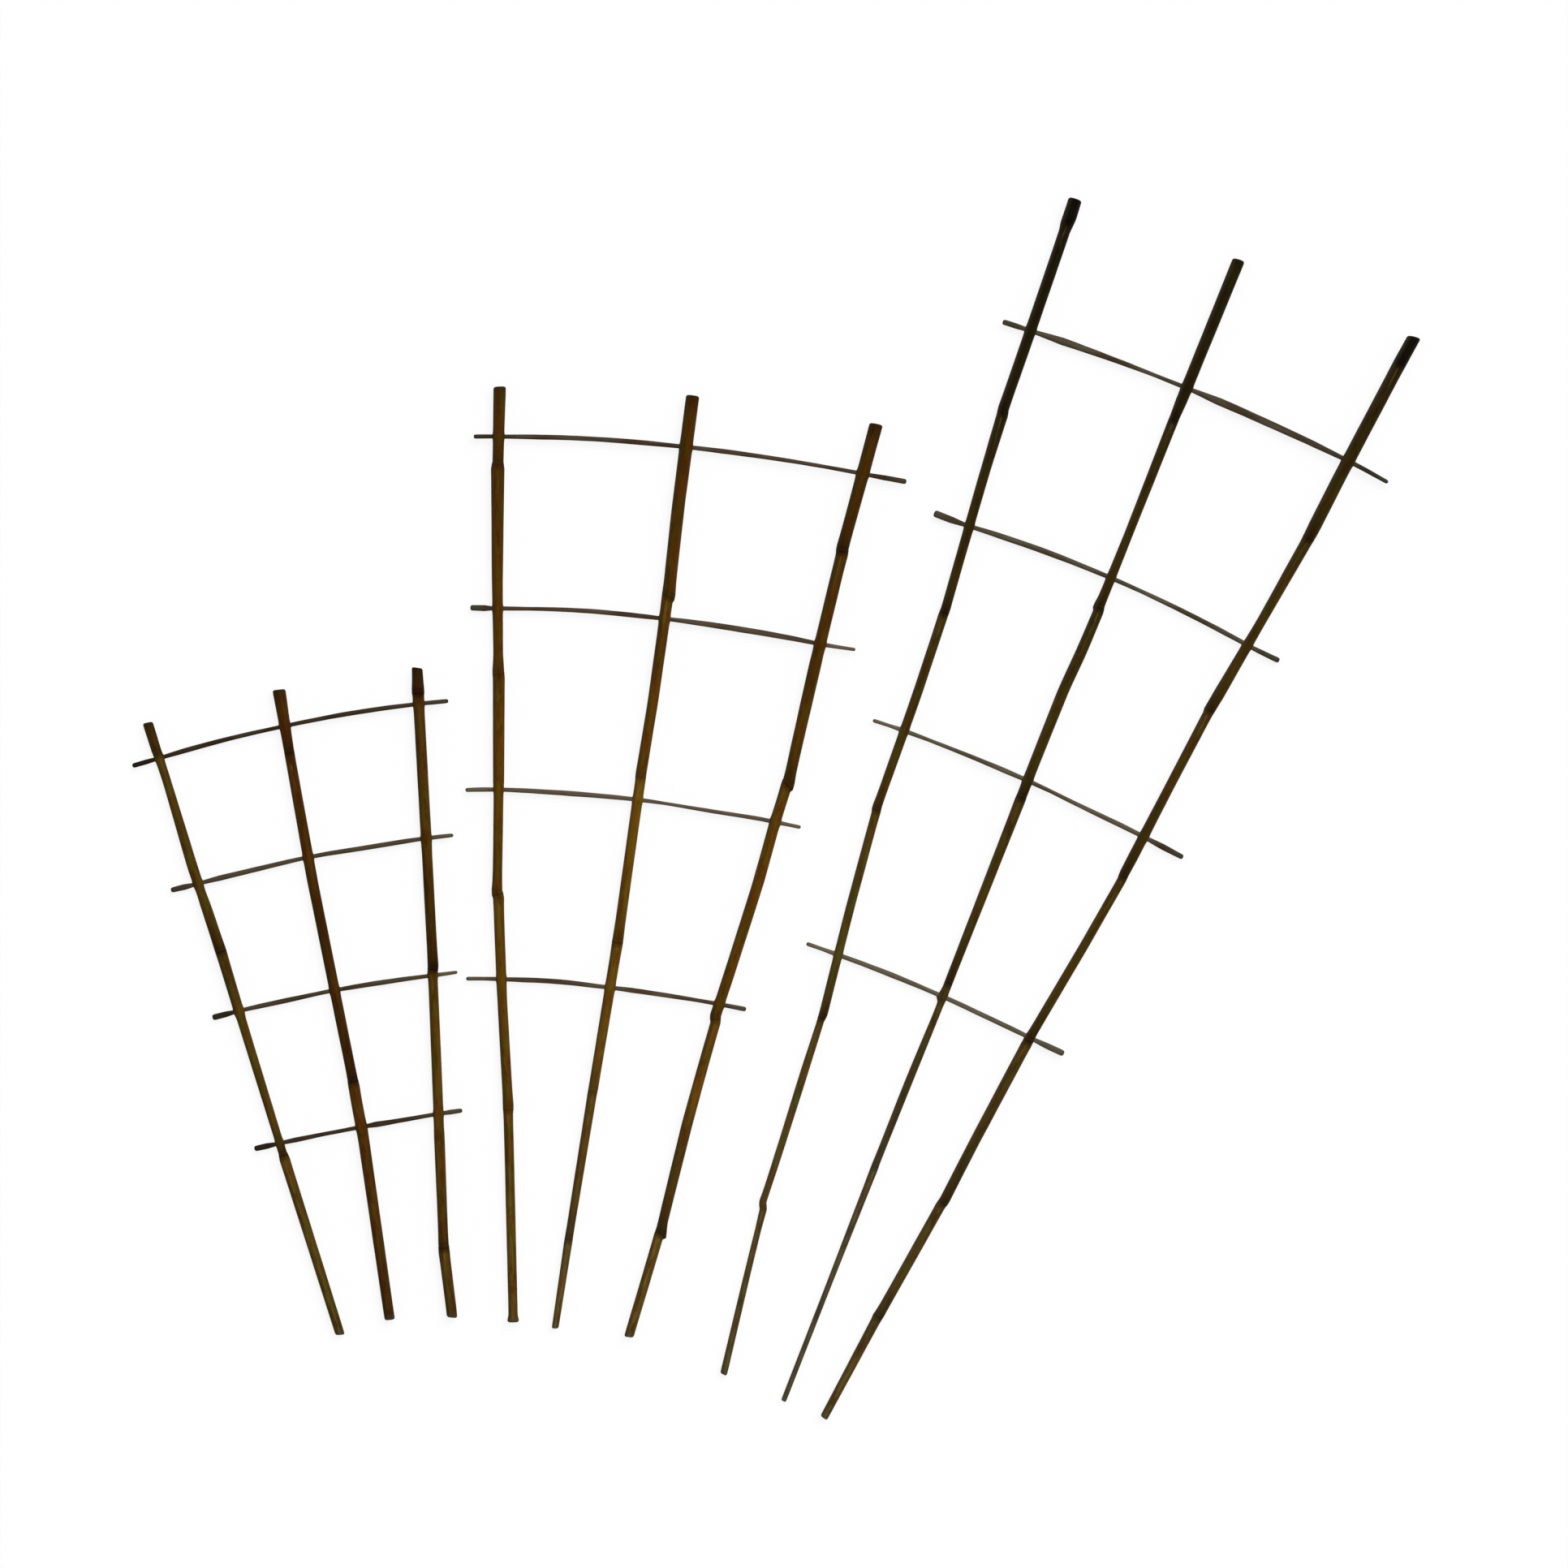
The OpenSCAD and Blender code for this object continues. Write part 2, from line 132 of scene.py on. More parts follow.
def by_keys(keys: Keys, places: np.ndarray) -> np.ndarray:
    """Reads a line through keys.

    Args:
        keys: Place and value of each key, in order of place.
        places: Where the line is read.

    Returns:
        The value at each place.
    """
    table = np.array(keys)
    return np.interp(places, table[:, 0], table[:, 1])


class Wiring:
    """Adds nodes to one tree and joins them."""

    mix_inputs = (0, 6, 7)
    mix_output = 2
    noise_middle = 0.5
    relief_strength = 0.5

    def __init__(self, tree: bpy.types.NodeTree) -> None:
        """Starts with an empty tree."""
        self.tree = tree
        tree.nodes.clear()

    def add(self, kind: str, inputs: dict | None = None, **settings: object) -> bpy.types.Node:
        """Adds one node.

        Args:
            kind: Blender's name for the node.
            inputs: A value or an output socket for each input, by name or number.
            settings: Properties of the node.

        Returns:
            The node.
        """
        node = self.tree.nodes.new(kind)
        for name, value in settings.items():
            setattr(node, name, value)
        for key, value in (inputs or {}).items():
            self.feed(node.inputs[key], value)
        return node

    def feed(self, socket: Socket, value: object) -> None:
        """Joins an output to a socket, or sets the socket's own value."""
        if isinstance(value, Socket):
            self.tree.links.new(value, socket)
        else:
            socket.default_value = value

    def math(self, operation: str, *values: object) -> Socket:
        """Adds a sum on numbers and returns its result."""
        return self.add("ShaderNodeMath", dict(enumerate(values)), operation=operation).outputs[0]

    def vector(self, operation: str, *values: object) -> Socket:
        """Adds a sum on vectors and returns its result."""
        node = self.add("ShaderNodeVectorMath", dict(enumerate(values)), operation=operation)
        return node.outputs["Value" if operation in ("DOT_PRODUCT", "LENGTH") else "Vector"]

    def scaled(self, vector: object, scale: object) -> Socket:
        """Adds a vector times a number and returns its result."""
        node = self.add("ShaderNodeVectorMath", {0: vector, "Scale": scale}, operation="SCALE")
        return node.outputs["Vector"]

    def ramp(self, value: object, ramp: Ramp) -> Socket:
        """Maps a number by a ramp and returns the result."""
        inputs = dict(zip(("From Min", "From Max", "To Min", "To Max"), ramp), Value=value)
        return self.add("ShaderNodeMapRange", inputs, interpolation_type="SMOOTHSTEP").outputs["Result"]

    def noise(self, place: Socket, grain: Grain) -> Socket:
        """Adds a noise from 0 to 1 and returns it."""
        inputs = {"Vector": self.vector("MULTIPLY", place, grain.stretch), "Scale": 1.0}
        inputs |= {"Detail": grain.detail, "Roughness": grain.rough}
        return self.add("ShaderNodeTexNoise", inputs).outputs[0]

    def swing(self, noise: Socket, share: float) -> Socket:
        """Adds how far a noise lies from its middle, times a share, and returns it."""
        return self.math("MULTIPLY", self.math("SUBTRACT", noise, self.noise_middle), share)

    def attribute(self, name: str, output: str = "Fac") -> Socket:
        """Adds a reader of one of the piece's own attributes and returns its value."""
        return self.add("ShaderNodeAttribute", attribute_name=name).outputs[output]

    def mix(self, factor: object, first: object, second: object, blend: Blend = Blend.MIX) -> Socket:
        """Mixes two colours.

        Args:
            factor: Share of the second colour.
            first: First colour.
            second: Second colour.
            blend: How they mix.

        Returns:
            The mixed colour.
        """
        inputs = dict(zip(self.mix_inputs, (factor, first, second)))
        node = self.add("ShaderNodeMix", inputs, data_type="RGBA", blend_type=blend.value)
        return node.outputs[self.mix_output]

    def stops(self, factor: object, colours: list[tuple[float, Colour]]) -> Socket:
        """Adds a colour ramp.

        Args:
            factor: Place on the ramp.
            colours: Place and colour of each stop, in order.

        Returns:
            The colour.
        """
        node = self.add("ShaderNodeValToRGB", {"Fac": factor})
        bar = node.color_ramp.elements
        while len(bar) < len(colours):
            bar.new(1.0)
        for stop, (place, colour) in zip(bar, colours):
            stop.position = place
            stop.color = linear(colour)
        return node.outputs["Color"]

    def surface(self, colour: Socket, rough: Socket, relief: Socket, depth: float, gloss: float) -> None:
        """Ends a material with a surface of fine relief.

        Args:
            colour: Colour of the surface.
            rough: Its roughness.
            relief: Height of the relief, from 0 to 1.
            depth: Real height of the relief.
            gloss: Strength of reflections.
        """
        bump = {"Strength": self.relief_strength, "Distance": depth, "Height": relief}
        normal = self.add("ShaderNodeBump", bump).outputs[0]
        inputs = {"Base Color": colour, "Roughness": rough, "Normal": normal, "Specular IOR Level": gloss}
        shader = self.add("ShaderNodeBsdfPrincipled", inputs)
        self.add("ShaderNodeOutputMaterial", {"Surface": shader.outputs[0]})


def new_material(name: str) -> tuple[Material, Wiring]:
    """Starts an empty material, with its wiring."""
    material = bpy.data.materials.new(name)
    material.use_nodes = True
    return material, Wiring(material.node_tree)


@dataclass(frozen=True)
class CaneSkin:
    """Satin skin of the canes of one frame, from the foot to the top."""

    name: str
    foot: Colour
    middle: Colour
    top: Colour
    # Colour of the painted highlight, a pale stripe along the top of the cane.
    pale: Colour = (150, 124, 70)
    olive: Colour = (58, 48, 4)
    end_grain: Colour = (126, 98, 58)
    heart: Colour = (52, 36, 18)
    speck: Colour = (26, 17, 5)
    weathered: Colour = (84, 79, 66)
    # Painted flank light: a colour mixed onto the sides of the cane, strongest on the left; a dark colour is
    # painted shade, a pale one a painted sheen.
    flank: Colour = (40, 44, 28)
    painted_flank_share: float = 0.34
    warm_tint: Tint = (1.0, 0.64, 0.4, 1.0)
    green_tint: Tint = (0.9, 1.14, 0.9, 1.0)
    red_tint: Tint = (1.1, 0.88, 0.9, 1.0)
    stain_tint: Tint = (0.72, 0.55, 0.35, 1.0)
    fibre_grain: Grain = Grain((1500.0, 1500.0, 22.0), 4.0, 0.6)
    blotch_grain: Grain = Grain((90.0, 90.0, 16.0), 3.0)
    hue_grain: Grain = Grain((170.0, 170.0, 50.0), 2.0)
    stain_grain: Grain = Grain((260.0, 260.0, 55.0), 4.0, 0.6)
    speck_grain: Grain = Grain((900.0, 900.0, 380.0), 1.0)
    pore_grain: Grain = Grain((2600.0, 2600.0, 60.0), 2.0)
    hue_ramp: Ramp = Ramp(0.36, 0.64)
    stain_ramp: Ramp = Ramp(0.46, 0.66, 0.0, 0.9)
    grey_ramp: Ramp = Ramp(0.3, 0.65, 0.7, 1.1)
    speck_ramp: Ramp = Ramp(0.7, 0.78, 0.0, 0.6)
    pore_ramp: Ramp = Ramp(0.42, 0.6)
    end_tone_ramp: Ramp = Ramp(0.05, 0.4, 0.15, 1.0)
    olive_ramp: Ramp = Ramp(0.5, 0.75, 0.0, 0.3)
    fibre_tone_ramp: Ramp = Ramp(0.25, 0.75, 0.8, 1.2)
    blotch_tone_ramp: Ramp = Ramp(0.3, 0.7, 0.8, 1.25)
    stripe_ramp: Ramp = Ramp(0.0, 2.4 * MM, 1.0, 0.0)
    upper_ramp: Ramp = Ramp(0.5 * MM, 2.0 * MM)
    highlight_fibre_ramp: Ramp = Ramp(0.35, 0.65)
    unstained_ramp: Ramp = Ramp(0.62, 0.42)
    middle_stop: float = 0.5
    height_drift: float = 0.25
    gloss: float = 0.02
    roughness: float = 0.5
    fibre_roughness: float = 0.3
    cut_roughness: float = 0.3
    blotch_relief: float = 0.6
    relief_depth: float = 0.25 * MM

    def make(self) -> Material:
        """Builds the material.

        Returns:
            The material, which reads the attributes that a cane carries.
        """
        material, w = new_material(self.name)
        straight = w.attribute("straight", "Vector")
        fibre = w.noise(straight, self.fibre_grain)
        blotch = w.noise(straight, self.blotch_grain)
        stain = w.noise(straight, self.stain_grain)
        colour = self.skin_colour(w, fibre, blotch)
        hue = w.ramp(w.noise(straight, self.hue_grain), self.hue_ramp)
        colour = w.mix(1.0, colour, w.mix(hue, self.green_tint, self.red_tint), Blend.MULTIPLY)
        colour = w.mix(w.ramp(stain, self.stain_ramp), colour, self.stain_tint, Blend.MULTIPLY)
        # Painted highlight along the lit top of the lower stretches.
        colour = self.striped(w, colour, straight, fibre, stain)
        grey = w.math("MULTIPLY", w.attribute("grey"), w.ramp(fibre, self.grey_ramp))
        colour = w.mix(grey, colour, linear(self.weathered))
        # Painted flank light: painted shade on the cane's sides, a painted sheen where the flank colour is
        # pale.
        flank = w.math("MULTIPLY", w.attribute("flank"), self.painted_flank_share)
        colour = w.mix(flank, colour, linear(self.flank))
        speck = w.ramp(w.noise(straight, self.speck_grain), self.speck_ramp)
        colour = w.mix(speck, colour, linear(self.speck))
        cut = w.attribute("cut")
        pores = w.ramp(w.noise(straight, self.pore_grain), self.pore_ramp)
        grain = w.mix(pores, linear(self.heart), linear(self.end_grain))
        # Tone darkens the end grain; near zero inside the hollows, it paints their shade.
        grain = w.scaled(grain, w.ramp(w.attribute("tone"), self.end_tone_ramp))
        colour = w.mix(cut, colour, grain)
        rough = w.math("ADD", self.roughness, w.swing(fibre, self.fibre_roughness))
        rough = w.math("ADD", rough, w.math("MULTIPLY", cut, self.cut_roughness))
        relief = w.math("ADD", fibre, w.math("MULTIPLY", blotch, self.blotch_relief))
        w.surface(colour, rough, relief, self.relief_depth, self.gloss)
        return material

    def skin_colour(self, w: Wiring, fibre: Socket, blotch: Socket) -> Socket:
        """Colours the skin by height, warmth and tone.

        Args:
            w: Wiring of the material.
            fibre: Noise along the fibres.
            blotch: Broad noise.

        Returns:
            The colour of the skin.
        """
        height = w.math("ADD", w.attribute("height"), w.swing(blotch, self.height_drift))
        colour = w.stops(height, [(0.0, self.foot), (self.middle_stop, self.middle), (1.0, self.top)])
        colour = w.mix(w.attribute("warmth"), colour, self.warm_tint, Blend.MULTIPLY)
        colour = w.mix(w.ramp(blotch, self.olive_ramp), colour, linear(self.olive))
        tone = w.math("MULTIPLY", w.attribute("tone"), w.ramp(fibre, self.fibre_tone_ramp))
        return w.scaled(colour, w.math("MULTIPLY", tone, w.ramp(blotch, self.blotch_tone_ramp)))

    def striped(self, w: Wiring, colour: Socket, straight: Socket, fibre: Socket, stain: Socket) -> Socket:
        """Adds the painted highlight: a pale, patchy stripe along the lit top of the lower stretches.

        Args:
            w: Wiring of the material.
            colour: Colour of the skin.
            straight: Place on the cane as if it were straight.
            fibre: Noise along the fibres.
            stain: Noise of the dark stains.

        Returns:
            The striped colour.
        """
        across, above, _ = w.add("ShaderNodeSeparateXYZ", {0: straight}).outputs
        near = w.ramp(w.math("ABSOLUTE", across), self.stripe_ramp)
        patchy = w.math("MULTIPLY", w.ramp(fibre, self.highlight_fibre_ramp), w.ramp(stain, self.unstained_ramp))
        wear_and_highlight = w.math("MULTIPLY", w.attribute("pale"), patchy)
        share = w.math("MULTIPLY", wear_and_highlight, w.math("MULTIPLY", near, w.ramp(above, self.upper_ramp)))
        return w.mix(share, colour, linear(self.pale))


@dataclass(frozen=True)
class SplitBamboo:
    """Dull split face of the cross bars of one frame."""

    name: str
    brown: Colour
    grey: Colour
    tip: Colour
    brown_stop: float = 0.36
    grey_stop: float = 0.64
    tone_grey: float = 0.45
    fibre_grain: Grain = Grain((2400.0, 2400.0, 30.0), 4.0, 0.65)
    blotch_grain: Grain = Grain((160.0, 160.0, 26.0), 3.0)
    tip_ramp: Ramp = Ramp(0.3, 0.6, 0.5, 1.0)
    fibre_tone_ramp: Ramp = Ramp(0.25, 0.75, 0.72, 1.28)
    gloss: float = 0.03
    roughness: float = 0.7
    fibre_roughness: float = 0.3
    relief_depth: float = 0.2 * MM

    def make(self) -> Material:
        """Builds the material.

        Returns:
            The material, which reads the attributes that a bar carries.
        """
        material, w = new_material(self.name)
        straight = w.attribute("straight", "Vector")
        fibre = w.noise(straight, self.fibre_grain)
        blotch = w.noise(straight, self.blotch_grain)
        shade = w.attribute("tone")
        paler = w.math("MULTIPLY", w.math("SUBTRACT", shade, 1.0), self.tone_grey)
        stops = [(self.brown_stop, self.brown), (self.grey_stop, self.grey)]
        colour = w.stops(w.math("ADD", blotch, paler), stops)
        wear_and_highlight = w.math("MULTIPLY", w.attribute("tip"), w.ramp(fibre, self.tip_ramp))
        colour = w.mix(wear_and_highlight, colour, linear(self.tip))
        colour = w.scaled(colour, w.math("MULTIPLY", shade, w.ramp(fibre, self.fibre_tone_ramp)))
        rough = w.math("ADD", self.roughness, w.swing(fibre, self.fibre_roughness))
        w.surface(colour, rough, fibre, self.relief_depth, self.gloss)
        return material


@dataclass
class GrownSweep:
    """Geometry Nodes tree that sweeps a grown or split stick along a guide.

    The guide's points carry girth (radius), flat (depth against width), groove and bud (vectors towards a
    groove or bud, as long as it is deep or high) and collar (a vector along the cross bar, as long as the
    swelling round it is high).
    """

    name: str = "Grown sweep"
    groove_edge: float = 0.75
    turn_share: float = 0.7
    wander_span: float = 2.0
    tree: bpy.types.NodeTree | None = field(default=None, repr=False)

    def build(self) -> None:
        """Builds the tree with its named inputs."""
        tree = bpy.data.node_groups.new(self.name, "GeometryNodeTree")
        kinds = {"Guide": "Geometry", "Sides": "Int", "Wander": "Float", "Wander Reach": "Float",
                 "Seed": "Float", "Finish": "Material"}
        for label, kind in kinds.items():
            tree.interface.new_socket(label, in_out="INPUT", socket_type="NodeSocket" + kind)
        tree.interface.new_socket("Piece", in_out="OUTPUT", socket_type="NodeSocketGeometry")
        self.tree = tree
        w = Wiring(tree)
        given = w.add("NodeGroupInput").outputs
        here = w.add("GeometryNodeInputPosition").outputs[0]
        curve = w.add("GeometryNodeMeshToCurve", {"Mesh": given["Guide"]})
        upright = w.add("GeometryNodeSetCurveNormal", {"Curve": curve.outputs[0]}, mode="Z_UP")
        hearted = w.add("GeometryNodeStoreNamedAttribute", {"Geometry": upright.outputs[0], "Name": "heart"},
                        data_type="FLOAT_VECTOR", domain="POINT")
        w.feed(next(s for s in hearted.inputs if s.name == "Value" and s.enabled), here)
        ring = w.add("GeometryNodeCurvePrimitiveCircle", {"Resolution": given["Sides"], "Radius": 1.0})
        girth = self.read(w, "girth", "FLOAT")
        tube = {"Curve": hearted.outputs[0], "Profile Curve": ring.outputs[0], "Scale": girth}
        swept = w.add("GeometryNodeCurveToMesh", tube)
        place = self.place(w, given, here, girth)
        moved = w.add("GeometryNodeSetPosition", {"Geometry": swept.outputs[0], "Position": place})
        smooth = w.add("GeometryNodeSetShadeSmooth", {"Geometry": moved.outputs[0]})
        real = w.add("GeometryNodeRealizeInstances", {"Geometry": smooth.outputs[0]})
        dressed = w.add("GeometryNodeSetMaterial", {"Geometry": real.outputs[0], "Material": given["Finish"]})
        w.add("NodeGroupOutput", {0: dressed.outputs[0]})

    def read(self, w: Wiring, name: str, kind: str = "FLOAT_VECTOR") -> Socket:
        """Adds a reader of a guide attribute and returns its value."""
        node = w.add("GeometryNodeInputNamedAttribute", {"Name": name}, data_type=kind)
        return next(s for s in node.outputs if s.name == "Attribute" and s.enabled)

    def place(self, w: Wiring, given: bpy.types.NodeOutputs, here: Socket, girth: Socket) -> Socket:
        """Works out where each swept point goes, with its flattening, groove and wander.

        Args:
            w: Wiring of the tree.
            given: The tree's inputs.
            here: Position of the point.
            girth: Radius at the point.

        Returns:
            The point's new position.
        """
        heart, groove, collar, bud = (self.read(w, name) for name in ("heart", "groove", "collar", "bud"))
        reach = w.vector("SUBTRACT", here, heart)
        out = w.vector("NORMALIZE", reach)
        squeeze = w.add("ShaderNodeCombineXYZ", {0: 1.0, 1: 1.0, 2: self.read(w, "flat", "FLOAT")}).outputs[0]
        per_reach = w.math("DIVIDE", 1.0, given["Wander Reach"])
        where = w.vector("ADD", w.scaled(here, per_reach), w.scaled(out, self.turn_share))
        inputs = {"Vector": where, "W": given["Seed"], "Scale": 1.0, "Detail": 1.0}
        noise = w.add("ShaderNodeTexNoise", inputs, noise_dimensions="4D")
        swing = w.swing(noise.outputs[0], self.wander_span)
        wander = w.math("MULTIPLY", w.math("MULTIPLY", swing, given["Wander"]), girth)
        dip = self.facing(w, groove, w.vector("DOT_PRODUCT", out, groove))
        rise = self.facing(w, collar, w.math("ABSOLUTE", w.vector("DOT_PRODUCT", out, collar)))
        rise = w.math("ADD", rise, self.facing(w, bud, w.vector("DOT_PRODUCT", out, bud)))
        shift = w.scaled(out, w.math("ADD", w.math("SUBTRACT", wander, dip), rise))
        return w.vector("ADD", w.vector("ADD", heart, w.vector("MULTIPLY", reach, squeeze)), shift)

    def facing(self, w: Wiring, way: Socket, share: Socket) -> Socket:
        """Gives the part of a groove, bud or collar that reaches a point, none far from its direction.

        Args:
            w: Wiring of the tree.
            way: Direction of the groove, bud or collar, as long as it is deep or high.
            share: The same along the point's own direction.

        Returns:
            Depth or height at the point.
        """
        limit = w.math("MULTIPLY", w.vector("LENGTH", way), self.groove_edge)
        over = w.math("MAXIMUM", w.math("SUBTRACT", share, limit), 0.0)
        return w.math("DIVIDE", over, 1.0 - self.groove_edge)

    def sweep(self, guide: "Guide", stick: "Cane | Bar", finish: Material) -> Mesh:
        """Sweeps one stick along its guide.

        Args:
            guide: Line that it follows.
            stick: The cane or bar, with its sides, unevenness and seed.
            finish: Material of the stick.

        Returns:
            An open tube as a plain mesh.
        """
        line = guide.as_object()
        modifier = line.modifiers.new(self.name, "NODES")
        modifier.node_group = self.tree
        values = {"Sides": stick.sides, "Wander": stick.wander, "Wander Reach": stick.wander_reach,
                  "Seed": float(stick.seed), "Finish": finish}
        for item in self.tree.interface.items_tree:
            if item.name in values:
                modifier[item.identifier] = values[item.name]
        mesh = plain_mesh(line)
        bpy.data.objects.remove(line)
        return mesh


def plain_mesh(thing: Thing) -> Mesh:
    """Turns an object with its modifiers into a plain mesh.

    Args:
        thing: The object.

    Returns:
        A new mesh.
    """
    bpy.context.view_layer.update()
    graph = bpy.context.evaluated_depsgraph_get()
    made = thing.evaluated_get(graph)
    return bpy.data.meshes.new_from_object(made, preserve_all_data_layers=True, depsgraph=graph)


def link(name: str, mesh: Mesh) -> Thing:
    """Puts a mesh into the scene as an object at the origin."""
    thing = bpy.data.objects.new(name, mesh)
    bpy.context.scene.collection.objects.link(thing)
    return thing


@dataclass
class Guide:
    """Line that a stick follows, with what the sweep reads at each point."""

    points: np.ndarray
    girth: np.ndarray
    flat: np.ndarray
    groove: np.ndarray
    collar: np.ndarray
    bud: np.ndarray
    block: int = 4000

    def as_object(self) -> Thing:
        """Makes the guide an object whose points carry what the sweep reads.

        Returns:
            The object.
        """
        mesh = bpy.data.meshes.new("guide")
        count = len(self.points)
        mesh.from_pydata(self.points.tolist(), [(i, i + 1) for i in range(count - 1)], [])
        carry(mesh, {"girth": self.girth, "flat": self.flat, "groove": self.groove, "collar": self.collar,
                     "bud": self.bud})
        return link("guide", mesh)

    def tangents(self) -> np.ndarray:
        """Gives the direction of the line at each point."""
        runs = np.gradient(self.points, axis=0)
        return runs / np.linalg.norm(runs, axis=1)[:, None]

    def along(self) -> np.ndarray:
        """Gives the distance of each point from the start of the line."""
        steps = np.linalg.norm(np.diff(self.points, axis=0), axis=1)
        return np.concatenate([[0.0], np.cumsum(steps)])

    def straightened(self, places: np.ndarray) -> tuple[np.ndarray, np.ndarray]:
        """Lays points of the surface out as if the stick were straight.

        Args:
            places: Points of the surface.

        Returns:
            Across, up and along for each point, and its distance from the heart against the radius there.
        """
        nearest = np.empty(len(places), int)
        for start in range(0, len(places), self.block):
            part = slice(start, start + self.block)
            gaps = ((places[part, None, :] - self.points[None]) ** 2).sum(2)
            nearest[part] = gaps.argmin(1)
        run = self.tangents()[nearest]
        reach = places - self.points[nearest]
        ahead = (reach * run).sum(1)
        reach = reach - run * ahead[:, None]
        side = np.stack([run[:, 1], -run[:, 0], np.zeros(len(run))], 1)
        side /= np.linalg.norm(side, axis=1)[:, None]
        across = (reach * side).sum(1)
        laid = np.stack([across, reach[:, 2], self.along()[nearest] + ahead], 1)
        return laid, np.linalg.norm(reach, axis=1) / self.girth[nearest]


def close_ends(mesh: Mesh, rings: Keys) -> None:
    """Closes both open ends of a tube.

    Args:
        mesh: The tube.
        rings: Rings added at each end: radius against the end's own, and distance outwards from the end.
    """
    bm = bmesh.new()
    bm.from_mesh(mesh)
    rim = [e for e in bm.edges if e.is_boundary]
    first = rim[0].verts[0].co.copy()
    far = max((e.verts[0].co - first).length for e in rim)
    near = [(e.verts[0].co - first).length < far / 2 for e in rim]
    halves = [[e for e, here in zip(rim, near) if here == wanted] for wanted in (True, False)]
    for edges in halves:
        ring = list({v for e in edges for v in e.verts})
        centre = sum((v.co for v in ring), Vector()) / len(ring)
        neighbours = [e.other_vert(v) for v in ring for e in v.link_edges if not e.is_boundary]
        out = centre - sum((v.co for v in neighbours), Vector()) / len(neighbours)
        out.normalize()
        arms = [(v, v.co - centre) for v in ring]
        for scale, ahead in rings:
            made = bmesh.ops.extrude_edge_only(bm, edges=edges)["geom"]
            fresh = [g for g in made if isinstance(g, bmesh.types.BMVert)]
            arms = [(v, min(arms, key=lambda arm: (arm[0].co - v.co).length_squared)[1]) for v in fresh]
            for v, arm in arms:
                v.co = centre + out * ahead + arm * scale
            edges = [g for g in made if isinstance(g, bmesh.types.BMEdge) and g.is_boundary]
        bmesh.ops.holes_fill(bm, edges=edges, sides=0)
    bmesh.ops.recalc_face_normals(bm, faces=bm.faces)
    bm.to_mesh(mesh)
    bm.free()


def crease(mesh: Mesh, angle: float) -> None:
    """Shades a mesh smooth, but for sharp edges.

    Args:
        mesh: The mesh.
        angle: Turn in degrees from which an edge is sharp.
    """
    bm = bmesh.new()
    bm.from_mesh(mesh)
    for face in bm.faces:
        face.smooth = True
    for edge in bm.edges:
        edge.smooth = len(edge.link_faces) != 2 or edge.calc_face_angle(0.0) < math.radians(angle)
    bm.to_mesh(mesh)
    bm.free()


def carry(mesh: Mesh, values: dict[str, np.ndarray]) -> None:
    """Gives a mesh its attributes, in place of those that the sweep read.

    Args:
        mesh: The mesh.
        values: A number or a vector for each point, by name.
    """
    for name in SWEEP_LAYERS:
        layer = mesh.attributes.get(name)
        if layer:
            mesh.attributes.remove(layer)
    for name, numbers in values.items():
        kind, key = ("FLOAT_VECTOR", "vector") if numbers.ndim == 2 else ("FLOAT", "value")
        layer = mesh.attributes.new(name, kind, "POINT")
        layer.data.foreach_set(key, np.ascontiguousarray(numbers, np.float32).ravel())


def own_pattern(laid: np.ndarray, seed: int) -> np.ndarray:
    """Moves a stick's straight points along, so that no two sticks show the same grain."""
    return laid + np.array([0.0, 0.0, seed * PATTERN_STEP])


def places_of(mesh: Mesh) -> np.ndarray:
    """Gives the points of a mesh as rows of numbers."""
    flat = np.empty(len(mesh.vertices) * 3, np.float32)
    mesh.vertices.foreach_get("co", flat)
    return flat.reshape(-1, 3).astype(float)


class Row(NamedTuple):
    """One place on a cane, in shares, from the foot to the top.

    The bow is to the right of the straight line, against the length. The girth below and above are against
    the plain thickness. The ridge is the strength of the bamboo joint, 0 on a plain bend. The jog is how far
    the stretch above starts to the right of the stretch below, against the plain thickness. The tone is the
    brightness of the stretch above. The bud is how far a bud scar stands out to the right, against the same.
    The shade is the strength of the dark band at the joint, and the tilt its slope, falling to the right.
    """

    height: float
    bow: float
    below: float
    above: float
    ridge: float
    jog: float
    tone: float
    bud: float = 0.0
    shade: float = 1.0
    tilt: float = 0.0


def bend(height: float, bow: float, girth: float, tone: float = 1.0) -> Row:
    """Gives a row without a joint, at a plain bend or an end."""
    return Row(height, bow, girth, girth, 0.0, 0.0, tone)


